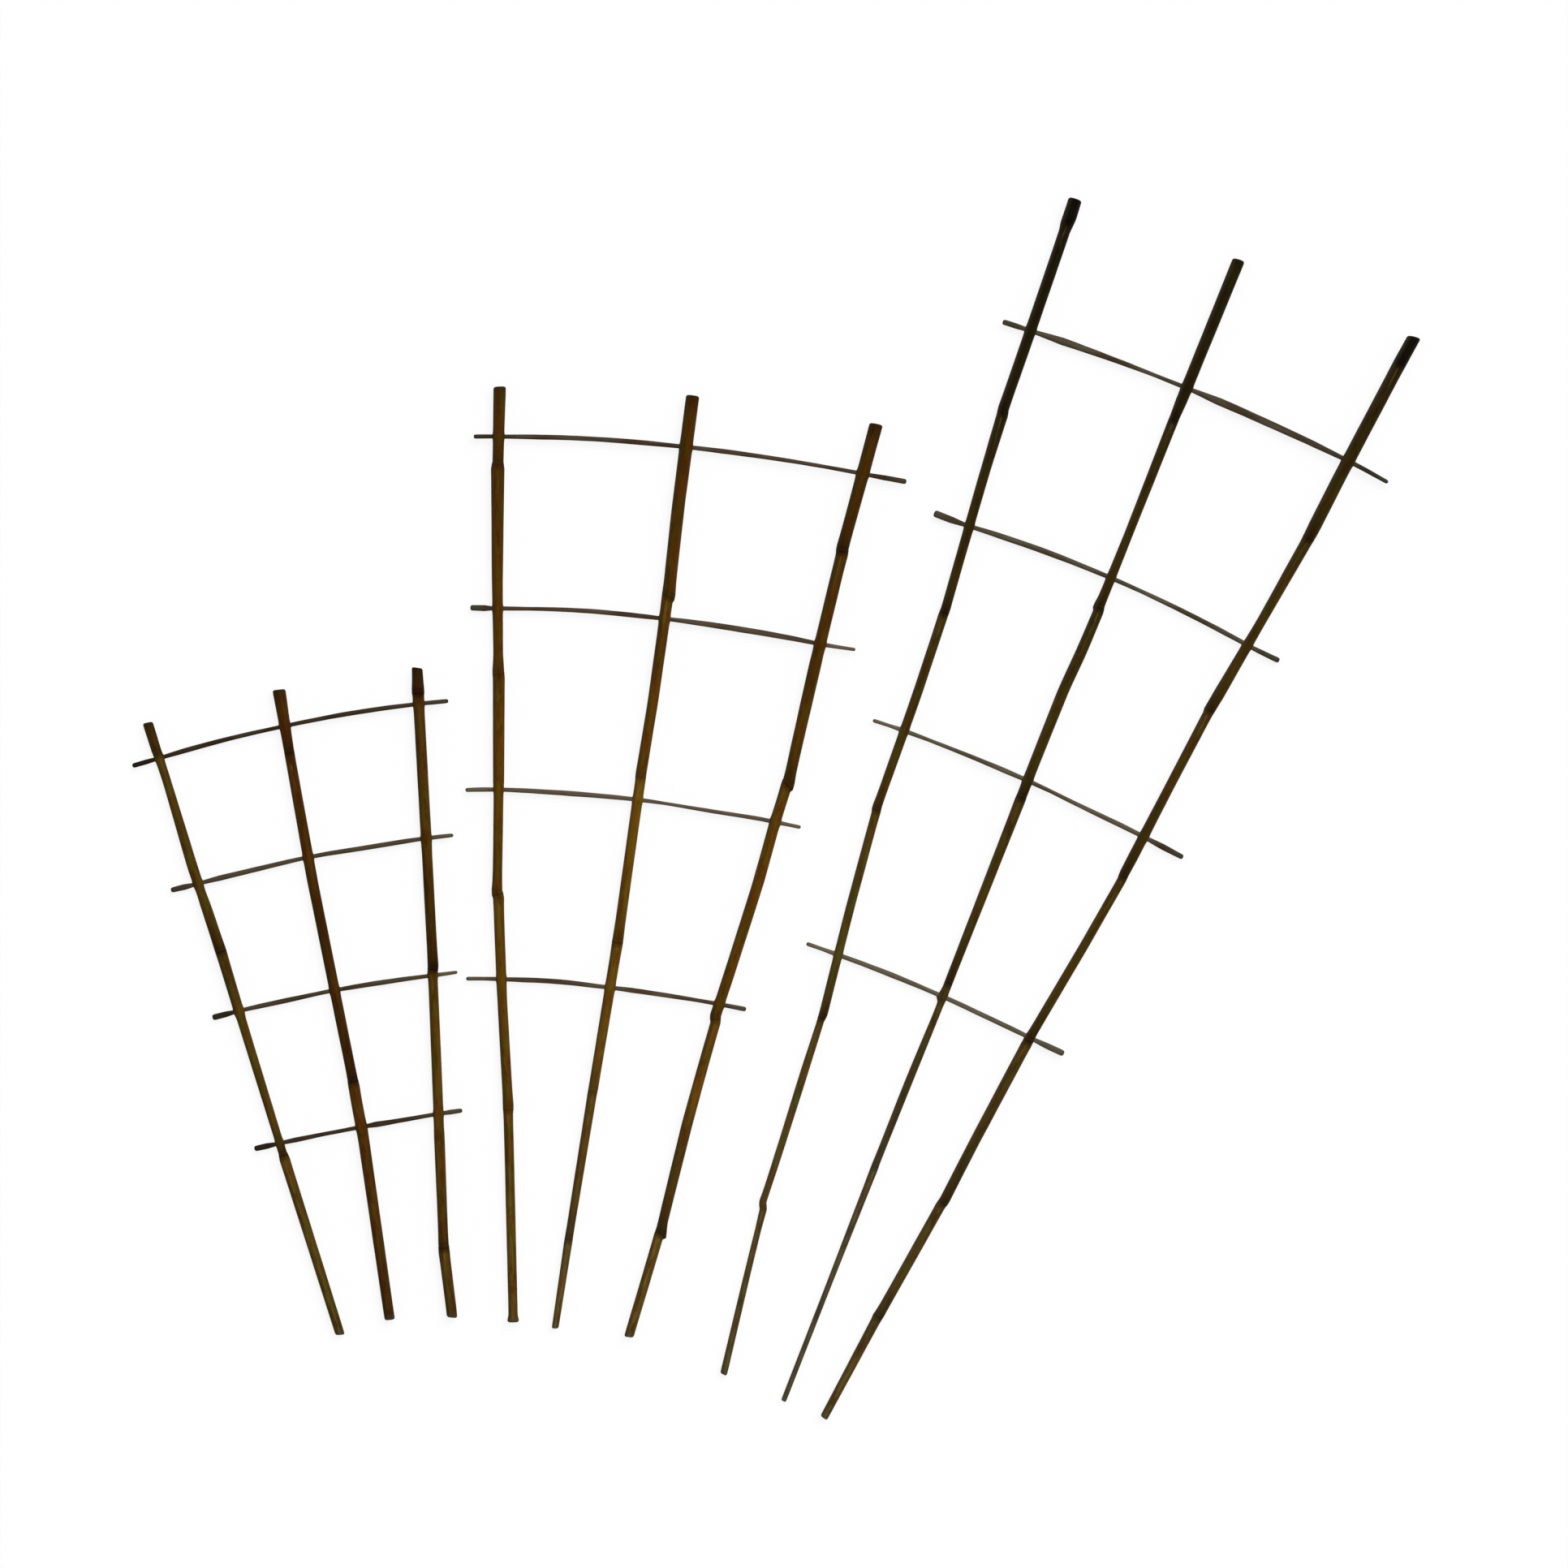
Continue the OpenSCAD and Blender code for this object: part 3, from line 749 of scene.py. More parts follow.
@dataclass
class Cane:
    """One bamboo cane with its joints, sawn ends and cross holes.

    Steps and keys along the cane are in millimetres from a joint, a hole or an end.
    """

    name: str
    length: float
    thick: float
    angle: float
    rows: list[Row]
    warmth: float
    # Strength of the painted highlight stripe along the top of the cane.
    wear_and_highlight: float
    grey: float
    overruns: tuple[float, float]
    slants: tuple[float, float]
    bars: list[float]
    hole: float
    seed: int
    sides: int = 28
    hole_sides: int = 24
    drill_share: float = 3.0
    crease_angle: float = 40.0
    plain_step: float = 5 * MM
    least_step: float = 0.3 * MM
    joint_steps: tuple[tuple[float, float, float], ...] = ((-22, -6, 2), (-6, 9, 0.6), (9, 27, 1.8))
    hole_steps: tuple[float, float, float] = (-10, 10.5, 1.25)
    leg_edge: float = 0.6 * MM
    end_edge: float = 2.2 * MM
    rim_trim: float = 1.8 * MM
    rim_turns: tuple[float, ...] = (25, 50, 70, 90)
    bow_reach: float = 8 * MM
    bow_count: int = 5
    flare: float = 22 * MM
    ridge_share: float = 0.17
    ridge_shape: Keys = (
        (-0.9, 0.0), (-0.5, 0.14), (-0.2, 0.42), (-0.05, 0.66), (0.0, 0.94), (0.05, 1.0), (0.12, 0.76),
        (0.2, 0.84), (0.32, 0.7), (0.55, 0.32), (1.0, 0.0))
    jog_reach: float = 45 * MM
    jog_turn: float = 5 * MM
    step_below: float = 4 * MM
    step_above: float = 3 * MM
    knuckle_share: float = 0.03
    knuckle_reach: float = 5 * MM
    bore_share: float = 0.42
    bore_depth: float = 16 * MM
    bore_flare: float = 1.08
    bore_lip: float = 0.4 * MM
    bore_half: float = 0.97
    bore_end: float = 0.9
    bore_tip: float = 0.4
    bore_tip_depth: float = 0.8 * MM
    collar_height: float = 0.7 * MM
    collar_reach: float = 2.4 * MM
    groove_share: float = 0.07
    groove_reach: float = 70 * MM
    groove_start: tuple[float, float] = (4 * MM, 14 * MM)
    groove_aside: float = 0.8
    groove_above: float = 0.6
    bud_shape: Keys = ((-4, 0), (-1.5, 0.6), (0, 1), (3, 0.66), (7, 0.28), (12, 0))
    wander: float = 0.028
    wander_reach: float = 26 * MM
    slant_reach: float = 8 * MM
    tilt_reach: float = 9 * MM
    blend_share: float = 0.4
    joint_blend: float = 1.0 * MM
    bend_blend: float = 20 * MM
    joint_warmth: float = 0.7
    joint_dark: Keys = ((-6, 1), (-3, 0.62), (0, 0.34), (4, 0.42), (8, 0.54), (15, 0.68), (30, 0.85), (60, 1))
    scars: Keys = ((0.1 * MM, 0.5), (4.4 * MM, 0.25))
    scar_width: float = 0.7 * MM
    # Painted highlight: the pale stripe's strength near each joint, for the first and the upper joints, and
    # along the foot stretch.
    joint_pale: Keys = ((-60, 0), (-26, 0.35), (-10, 0.7), (-5, 0.5), (-4, 0))
    upper_highlight: float = 0.35
    foot_highlight: float = 0.6
    foot_highlight_reach: tuple[float, float] = (-5 * MM, -40 * MM)
    top_dark: Keys = ((0, 0.5), (4, 0.62), (18, 1))
    foot_dark: Keys = ((0, 0.7), (6, 0.8), (22, 1))
    hollow_share: float = 0.5
    hollow_start: float = 0.8 * MM
    # Painted shade: tone of the inside of the blind hollow at each sawn end.
    hollow_painted_shade: float = 0.05
    heart_reach: float = 0.1 * MM
    # Painted flank light: where the sides of the cane turn away from the top, the left side fully and the
    # right side by a share.
    left_painted_flank_turn: tuple[float, float] = (0.2, 0.9)
    right_painted_flank_turn: tuple[float, float] = (0.3, 0.95)
    right_flank: float = 0.3
    foot_grey: Keys = ((0, 0.5), (2, 0.25), (6, 0))
    grey_height: float = 0.4
    cut_reach: tuple[float, float] = (0.68, 0.82)

    def __post_init__(self) -> None:
        """Finds the foot from the frame's own leg mount."""
        mounts = {m["name"]: m for m in frame["record"]["mounts"]}
        leg = mounts[self.name.replace("_cane", "_leg")]
        reach = leg["dims"]["length_mm"] * MM / 2 + self.leg_edge
        self.foot = np.array(leg["pos_m"]) + np.array(leg["axis"]) * reach
        turn = math.radians(self.angle)
        self.up = np.array([math.sin(turn), math.cos(turn), 0.0])
        self.right = np.array([math.cos(turn), -math.sin(turn), 0.0])
        self.first = self.end_edge - self.overruns[0]
        self.last = self.length + self.overruns[1] - self.end_edge

    def joints(self) -> list[Row]:
        """Gives the bamboo joints, from the lowest up."""
        return [row for row in self.rows[1:-1] if row.ridge > 0]

    def past(self, s: np.ndarray, share: float) -> np.ndarray:
        """Gives how far distances along the cane lie past a share of its length."""
        return s - share * self.length

    def radius(self, s: np.ndarray) -> np.ndarray:
        """Gives the radius at distances from the foot.

        Args:
            s: Distances along the cane.

        Returns:
            The radius at each.
        """
        keys = []
        for row in self.rows:
            at = row.height * self.length
            keys += [(at - self.step_below, row.below), (at + self.step_above, row.above)]
        swell = np.zeros_like(s)
        for row in self.joints():
            gap = self.past(s, row.height) / self.flare
            swell += row.ridge * self.ridge_share * by_keys(self.ridge_shape, gap)
        for bar in self.bars:
            swell += self.knuckle_share * np.exp(-(self.past(s, bar) / self.knuckle_reach) ** 2)
        return by_keys(keys, s) * self.thick / 2 * (1 + swell)

    def rest(self, row: Row) -> float:
        """Gives the height off the floor at which the cane rests on a row."""
        return max(row.below, row.above) * self.thick / 2 * (1 + self.ridge_share * row.ridge)

    def centre(self, s: np.ndarray) -> np.ndarray:
        """Gives points on the middle line of the cane.

        Args:
            s: Distances along the cane.

        Returns:
            One point for each.
        """
        heights = [row.height * self.length for row in self.rows]
        bows = [row.bow * self.length for row in self.rows]
        window = np.linspace(-self.bow_reach, self.bow_reach, self.bow_count)
        side = np.mean([np.interp(s + shift, heights, bows) for shift in window], axis=0)
        for row in self.joints():
            gap = self.past(s, row.height)
            turn = np.sin(np.clip(gap / self.jog_turn, -1, 1) * math.pi / 2)
            side += row.jog * self.thick / 2 * turn * np.exp(-np.abs(gap) / self.jog_reach)
        rests = [self.rest(row) for row in self.rows]
        rests[0], rests[-1] = max(rests[0], rests[1]), max(rests[-1], rests[-2])
        lift = np.interp(s, heights, rests)
        flat_foot = np.array([self.foot[0], self.foot[1], 0.0])
        return flat_foot + np.outer(s, self.up) + np.outer(side, self.right) + np.outer(lift, [0, 0, 1])

    def stations(self) -> np.ndarray:
        """Gives the distances at which the cane is swept, closer together at joints and holes."""
        near_joint = np.concatenate([np.arange(*run) for run in self.joint_steps]) * MM
        near_hole = np.arange(*self.hole_steps) * MM
        spots = [np.arange(self.first, self.last, self.plain_step)]
        spots += [row.height * self.length + near_joint for row in self.joints()]
        spots += [bar * self.length + near_hole for bar in self.bars]
        spots.append(np.array([self.first, self.last]))
        s = np.unique(np.clip(np.concatenate(spots), self.first, self.last))
        keep = np.concatenate([[True], np.diff(s) > self.least_step])
        keep[-2:] = [False, True]
        return s[keep]

    def groove(self, s: np.ndarray) -> np.ndarray:
        """Gives the shallow groove above each joint, on alternate sides.

        Args:
            s: Distances along the cane.

        Returns:
            A vector towards the groove for each, as long as the groove is deep.
        """
        depth = np.zeros((len(s), 3))
        for number, row in enumerate(self.joints()):
            gap = self.past(s, row.height)
            rise = smooth_step(*self.groove_start, gap) * np.exp(-np.clip(gap, 0, None) / self.groove_reach)
            aside = self.groove_aside if number % 2 else -self.groove_aside
            way = self.right * aside + np.array([0, 0, self.groove_above])
            depth += np.outer(rise * self.groove_share * self.thick / 2, way)
        return depth

    def bud(self, s: np.ndarray) -> np.ndarray:
        """Gives the bud scars, each just above its joint.

        Args:
            s: Distances along the cane.

        Returns:
            A vector towards the bud for each, as long as the bud is high.
        """
        rise = np.zeros((len(s), 3))
        for row in self.joints():
            near = by_keys(self.bud_shape, self.past(s, row.height) / MM)
            rise += np.outer(near * row.bud * self.thick, self.right)
        return rise

    def collar(self, s: np.ndarray, runs: list[np.ndarray]) -> np.ndarray:
        """Gives the swelling round each cross hole.

        Args:
            s: Distances along the cane.
            runs: Direction of the bar in each hole.

        Returns:
            A vector along the bar for each, as long as the swelling is high.
        """
        rise = np.zeros((len(s), 3))
        for bar, run in zip(self.bars, runs):
            near = np.exp(-(self.past(s, bar) / self.collar_reach) ** 2)
            rise += np.outer(near * self.collar_height, run)
        return rise

    def guide(self, runs: list[np.ndarray]) -> Guide:
        """Gives the line that the cane is swept along, with bars that run in the given directions."""
        s = self.stations()
        flat = np.ones_like(s)
        return Guide(self.centre(s), self.radius(s), flat, self.groove(s), self.collar(s, runs), self.bud(s))

    def end_rings(self) -> Keys:
        """Gives the rings of a sawn end: a rounded rim, the sawn face and the blind hollow."""
        edge, bore = self.end_edge, self.bore_share
        deep = edge - self.bore_depth
        trim = self.rim_trim / (self.thick / 2)
        turns = [math.radians(turn) for turn in self.rim_turns]
        rim = [(1 - trim * (1 - math.cos(turn)), edge * math.sin(turn)) for turn in turns]
        mouth = [(bore * self.bore_flare, edge), (bore, edge - self.bore_lip)]
        hollow = [(bore * self.bore_half, deep / 2), (bore * self.bore_end, deep)]
        return rim + mouth + hollow + [(bore * self.bore_tip, deep - self.bore_tip_depth)]

    def drill(self, mesh: Mesh, runs: list[np.ndarray]) -> Mesh:
        """Cuts the cross holes.

        Args:
            mesh: The closed cane.
            runs: Direction of the bar in each hole.

        Returns:
            The drilled mesh.
        """
        bm = bmesh.new()
        for bar, run in zip(self.bars, runs):
            turn = Vector(run).to_track_quat("Z", "Y").to_matrix().to_4x4()
            turn.translation = Vector(self.centre(np.array([bar * self.length]))[0])
            bmesh.ops.create_cone(bm, cap_ends=True, segments=self.hole_sides, radius1=self.hole / 2,
                                  radius2=self.hole / 2, depth=self.thick * self.drill_share, matrix=turn)
        drills = bpy.data.meshes.new("drills")
        bm.to_mesh(drills)
        bm.free()
        cutter, body = link("drills", drills), link("drilled", mesh)
        cut = body.modifiers.new("Cross holes", "BOOLEAN")
        cut.operation, cut.solver, cut.object = "DIFFERENCE", "MANIFOLD", cutter
        result = plain_mesh(body)
        bpy.data.objects.remove(body)
        bpy.data.objects.remove(cutter)
        return result

    def tilt(self, mesh: Mesh) -> None:
        """Tilts the sawn ends and the joints against the line of the cane.

        Args:
            mesh: The closed cane.
        """
        places = places_of(mesh)
        s = (places - self.foot) @ self.up
        across = (places - self.centre(s)) @ self.right
        from_foot, from_top = s + self.overruns[0], self.length + self.overruns[1] - s
        slope = self.slants[1] * (1 - smooth_step(0.0, self.slant_reach, from_top))
        slope = slope - self.slants[0] * (1 - smooth_step(0.0, self.slant_reach, from_foot))
        for row in self.joints():
            slope = slope - row.tilt * np.exp(-(self.past(s, row.height) / self.tilt_reach) ** 2)
        places = places + np.outer(slope * across, self.up)
        mesh.vertices.foreach_set("co", places.ravel())
        mesh.update()

    def tones(self, s: np.ndarray) -> np.ndarray:
        """Gives the brightness of the stretches, which changes sharply at a joint and slowly at a bend.

        Args:
            s: Distances along the cane.

        Returns:
            The brightness at each.
        """
        keys = []
        for below, row, above in zip(self.rows, self.rows[1:], self.rows[2:]):
            room = min(row.height - below.height, above.height - row.height) * self.length
            reach = min(room * self.blend_share, self.joint_blend if row.ridge > 0 else self.bend_blend)
            at = row.height * self.length
            keys += [(at - reach, below.tone), (at + reach, row.tone)]
        return by_keys(keys, s)

    def mark(self, mesh: Mesh, guide: Guide) -> None:
        """Gives each point its place, tone, grey weathering, painted highlight, painted hollow shade and
        painted flank light.

        Args:
            mesh: The finished cane.
            guide: Line that it was swept along.
        """
        laid, share = guide.straightened(places_of(mesh))
        s = laid[:, 2] + self.first
        from_foot, from_top = s - self.first + self.end_edge, self.last + self.end_edge - s
        tone, warmth, pale = self.tones(s), np.full_like(s, self.warmth), np.zeros_like(s)
        for order, row in enumerate(self.joints()):
            gap = self.past(s, row.height) + row.tilt * laid[:, 0]
            dark = 1 - row.shade * (1 - by_keys(self.joint_dark, gap / MM))
            for line, depth in self.scars:
                dark = dark * (1 - row.shade * depth * np.exp(-((gap - line) / self.scar_width) ** 2))
            tone = tone * dark
            warmth += self.joint_warmth * (1 - dark)
            # Painted highlight just below each joint.
            wear_and_highlight = self.upper_highlight if order else self.wear_and_highlight
            pale = np.maximum(pale, by_keys(self.joint_pale, gap / MM) * wear_and_highlight)
        # Painted highlight along the stretch below the first joint.
        below = smooth_step(*self.foot_highlight_reach, self.past(s, self.joints()[0].height))
        pale = np.maximum(pale, self.foot_highlight * self.wear_and_highlight * below)
        tone = tone * by_keys(self.top_dark, from_top / MM) * by_keys(self.foot_dark, from_foot / MM)
        # Painted shade: the inside of each blind hollow is set almost black.
        hollow = (share < self.hollow_share) & (np.minimum(from_foot, from_top) > self.hollow_start)
        tone = np.where(hollow, self.hollow_painted_shade, tone)
        # Painted flank light on the sides of the cane, fullest on the left.
        turned = laid[:, 0] / np.maximum(np.hypot(laid[:, 0], laid[:, 1]), self.heart_reach)
        flank = smooth_step(*self.left_painted_flank_turn, -turned)
        flank = flank + self.right_flank * smooth_step(*self.right_painted_flank_turn, turned)
        height = s / self.length
        grey = self.grey * (1 - smooth_step(0.0, self.grey_height, height))
        grey = grey + by_keys(self.foot_grey, from_foot / MM)
        carry(mesh, {"straight": own_pattern(laid, self.seed), "height": height, "tone": tone, "pale": pale,
                     "cut": 1 - smooth_step(*self.cut_reach, share), "warmth": np.clip(warmth, 0, 1),
                     "grey": np.clip(grey, 0, 1), "flank": flank})

    def build(self, tree: GrownSweep, skin: Material, runs: list[np.ndarray]) -> Thing:
        """Builds and dresses the cane.

        Args:
            tree: Sweep that makes the stick.
            skin: Finish of the cane.
            runs: Direction of the bar in each hole.

        Returns:
            The finished piece.
        """
        guide = self.guide(runs)
        mesh = tree.sweep(guide, self, skin)
        close_ends(mesh, self.end_rings())
        self.tilt(mesh)
        mesh = self.drill(mesh, runs)
        crease(mesh, self.crease_angle)
        self.mark(mesh, guide)
        mesh.name = self.name
        return link(self.name + "_piece", mesh)


class BarPlan(NamedTuple):
    """One cross bar as it was split and bent.

    The heights are where it passes the left, middle and right cane, against their lengths. The overhangs are
    against the frame's own, and the widths, from the left tip to the right one, against the frame's bar. The
    bends are how far, in millimetres, the left tip, the two spans and the right tip stand above a smooth
    line. The tone is the brightness of the bar, and the tips that of its left and right end against it.
    """

    heights: tuple[float, float, float]
    overhangs: tuple[float, float]
    widths: tuple[float, ...]
    bends: tuple[float, float, float, float]
    tone: float
    tips: tuple[float, float]


@dataclass
class Bar:
    """One thin split cross bar, threaded through the three canes of its frame."""

    name: str
    thick: float
    waist: float
    crossings: np.ndarray
    cane_radii: list[float]
    overhangs: tuple[float, float]
    plan: BarPlan
    seed: int
    sides: int = 14
    crease_angle: float = 50.0
    depth_share: float = 0.78
    tip_shape: Keys = ((0.0, 0.6), (0.12, 0.75), (0.4, 0.92), (1.0, 1.0))
    tip_rings: Keys = ((0.9, 0.15 * MM), (0.55, 0.25 * MM), (0.2, 0.3 * MM))
    tip_trim: float = 2.4 * MM
    tip_bend: float = 1.4
    tip_wear: tuple[float, float] = (2 * MM, 24 * MM)
    tip_dark: Keys = ((0, 0.6), (0.5, 0.75), (2.5, 1))
    step: float = 2.2 * MM
    place_digits: int = 6
    run_step: float = 1e-3
    wander: float = 0.09
    wander_reach: float = 19 * MM
    span_shares: tuple[float, float, float] = (0.2, 0.5, 0.8)

    def __post_init__(self) -> None:
        """Works out the two spans between the canes."""
        left, middle, right = self.crossings
        first_span = float(np.linalg.norm(middle - left))
        self.span = first_span + float(np.linalg.norm(right - middle))
        self.middle = first_span / self.span

    def curve(self, u: np.ndarray) -> np.ndarray:
        """Gives points on the smooth line through the three crossings.

        Args:
            u: Places, 0 at the left crossing and 1 at the right one.

        Returns:
            One point for each.
        """
        left, centre, right = self.crossings
        m = self.middle
        line = (np.outer((u - m) * (u - 1) / m, left) + np.outer(u * (u - 1) / (m * (m - 1)), centre)
                + np.outer(u * (u - m) / (1 - m), right))
        chord = (right - left) / np.linalg.norm(right - left)
        return line + np.outer(self.sway(u), [-chord[1], chord[0], 0.0])

    def sway(self, u: np.ndarray) -> np.ndarray:
        """Gives how far the bar stands above the smooth line, nothing at the crossings.

        Args:
            u: Places, 0 at the left crossing and 1 at the right one.

        Returns:
            The height at each.
        """
        left_tip, first, second, right_tip = (height * MM for height in self.plan.bends)
        m = self.middle
        out_left = np.clip(-u * self.span / self.overhangs[0], 0, 1) ** self.tip_bend
        out_right = np.clip((u - 1) * self.span / self.overhangs[1], 0, 1) ** self.tip_bend
        hump_first = np.sin(math.pi * np.clip(u / m, 0, 1)) ** 2
        hump_second = np.sin(math.pi * np.clip((u - m) / (1 - m), 0, 1)) ** 2
        return left_tip * out_left + first * hump_first + second * hump_second + right_tip * out_right

    def runs(self) -> list[np.ndarray]:
        """Gives the direction of the bar at each crossing."""
        ends = [self.curve(np.array([u - self.run_step, u + self.run_step])) for u in (0.0, self.middle, 1.0)]
        return [(b - a) / np.linalg.norm(b - a) for a, b in ends]

    def width_keys(self) -> Keys:
        """Gives the places along the bar where its width is set, with the widths."""
        left_tip, left_out, *spans, right_out, right_tip = (share * self.thick for share in self.plan.widths)
        start, stop = -self.overhangs[0] / self.span, 1 + self.overhangs[1] / self.span
        trim = self.tip_trim / self.span
        keys = [(start + trim * back, left_tip * share) for back, share in self.tip_shape]
        keys.append((start / 2, left_out))
        spots = (0.0, self.middle, 1.0)
        for number, (spot, radius) in enumerate(zip(spots, self.cane_radii)):
            inside = radius / self.span
            keys += [(spot - inside, self.waist), (spot + inside, self.waist)]
            if spot < 1:
                ahead = spots[number + 1] - spot
                widths = spans[number * len(self.span_shares):]
                keys += [(spot + ahead * share, width) for share, width in zip(self.span_shares, widths)]
        keys.append(((1 + stop) / 2, right_out))
        return keys + [(stop - trim * back, right_tip * share) for back, share in reversed(self.tip_shape)]

    def guide(self) -> Guide:
        """Gives the line that the bar is swept along."""
        keys = self.width_keys()
        places = [place for place, _ in keys]
        count = int((places[-1] - places[0]) * self.span / self.step)
        spots = np.concatenate([np.linspace(places[0], places[-1], count), places])
        u = np.unique(spots.round(self.place_digits))
        width = by_keys(keys, u)
        depth = np.minimum(width, self.depth_share * self.thick)
        plain = np.zeros((len(u), 3))
        return Guide(self.curve(u), width / 2, depth / width, plain, plain, plain)

    def mark(self, mesh: Mesh, guide: Guide) -> None:
        """Gives each point its place and wear for the split face.

        Args:
            mesh: The finished bar.
            guide: Line that it was swept along.
        """
        laid, _ = guide.straightened(places_of(mesh))
        s = laid[:, 2]
        back = guide.along()[-1] - s
        ends = np.minimum(s, back)
        tone = self.plan.tone * by_keys(self.tip_dark, ends / MM)
        for tip, overhang, reach in zip(self.plan.tips, self.overhangs, (s, back)):
            tone = tone * (1 + (tip - 1) * smooth_step(overhang, overhang / 2, reach))
        carry(mesh, {"straight": own_pattern(laid, self.seed), "tip": 1 - smooth_step(*self.tip_wear, ends),
                     "tone": tone})

    def build(self, tree: GrownSweep, finish: Material) -> Thing:
        """Builds and dresses the bar.

        Args:
            tree: Sweep that makes the stick.
            finish: Finish of the bar.

        Returns:
            The finished piece.
        """
        guide = self.guide()
        mesh = tree.sweep(guide, self, finish)
        close_ends(mesh, self.tip_rings)
        crease(mesh, self.crease_angle)
        self.mark(mesh, guide)
        mesh.name = self.name
        return link(self.name + "_piece", mesh)


@dataclass
class FanFrame:
    """One fan frame: three canes and four cross bars."""

    name: str
    cane_len: float
    cane_thick: float
    bar_thick: float
    overhang: float
    lean: float
    fan: float
    length_shares: tuple[float, float, float]
    fan_shares: tuple[float, float, float]
    warmths: tuple[float, float, float]
    # Strength of the painted highlight stripe on each cane.
    wear_and_highlight: tuple[float, float, float]
    greys: tuple[float, float, float]
    overruns: tuple[tuple[float, float], ...]
    slants: tuple[tuple[float, float], ...]
    canes: dict[Side, list[Row]]
    bars: list[BarPlan]
    skin: CaneSkin
    split: SplitBamboo
    seed: int
    bar_seed_step: int = 10
    waist_share: float = 0.9
    bar_play: float = 0.15 * MM

    def make_cane(self, side: Side) -> Cane:
        """Sets out one cane.

        Args:
            side: Place of the cane.

        Returns:
            The cane, not built yet.
        """
        k = side.value
        return Cane(
            name=f"{self.name}_{side.name.lower()}_cane",
            length=self.cane_len * self.length_shares[k],
            thick=self.cane_thick,
            angle=self.lean + self.fan * self.fan_shares[k],
            rows=self.canes[side],
            warmth=self.warmths[k],
            wear_and_highlight=self.wear_and_highlight[k],
            grey=self.greys[k],
            overruns=tuple(over * MM for over in self.overruns[k]),
            slants=self.slants[k],
            bars=[plan.heights[k] for plan in self.bars],
            hole=self.bar_thick * self.waist_share + 2 * self.bar_play,
            seed=self.seed + k,
        )

    def make_bar(self, number: int, canes: list[Cane]) -> Bar:
        """Sets out one bar.

        Args:
            number: Place of the bar, 0 at the top.
            canes: The frame's canes from left to right.

        Returns:
            The bar, not built yet.
        """
        plan = self.bars[number]
        spots = [np.array([share * cane.length]) for share, cane in zip(plan.heights, canes)]
        return Bar(
            name=f"{self.name}_bar_{number + 1}",
            thick=self.bar_thick,
            waist=self.bar_thick * self.waist_share,
            crossings=np.array([cane.centre(spot)[0] for cane, spot in zip(canes, spots)]),
            cane_radii=[float(cane.radius(spot)[0]) for cane, spot in zip(canes, spots)],
            overhangs=tuple(self.overhang * share for share in plan.overhangs),
            plan=plan,
            seed=self.seed + self.bar_seed_step + number,
        )

    def build(self, tree: GrownSweep) -> None:
        """Builds, dresses and hands over the frame's pieces.

        Args:
            tree: Sweep that makes the sticks.
        """
        skin, split = self.skin.make(), self.split.make()
        canes = [self.make_cane(side) for side in Side]
        bars = [self.make_bar(number, canes) for number in range(len(self.bars))]
        for k, cane in enumerate(canes):
            piece = cane.build(tree, skin, [bar.runs()[k] for bar in bars])
            self.hand_over(piece, cane.name)
        for bar in bars:
            piece = bar.build(tree, split)
            self.hand_over(piece, bar.name)

    def hand_over(self, piece: Thing, node: str) -> None:
        """Ties a finished piece to its body and hides the solid that it stands for.

        Args:
            piece: The piece.
            node: Solid that it stands for.
        """
        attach(piece, f"{self.name}_frame")
        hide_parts(node)
        log.info("%s: %d points, %d faces", piece.name, len(piece.data.vertices), len(piece.data.polygons))


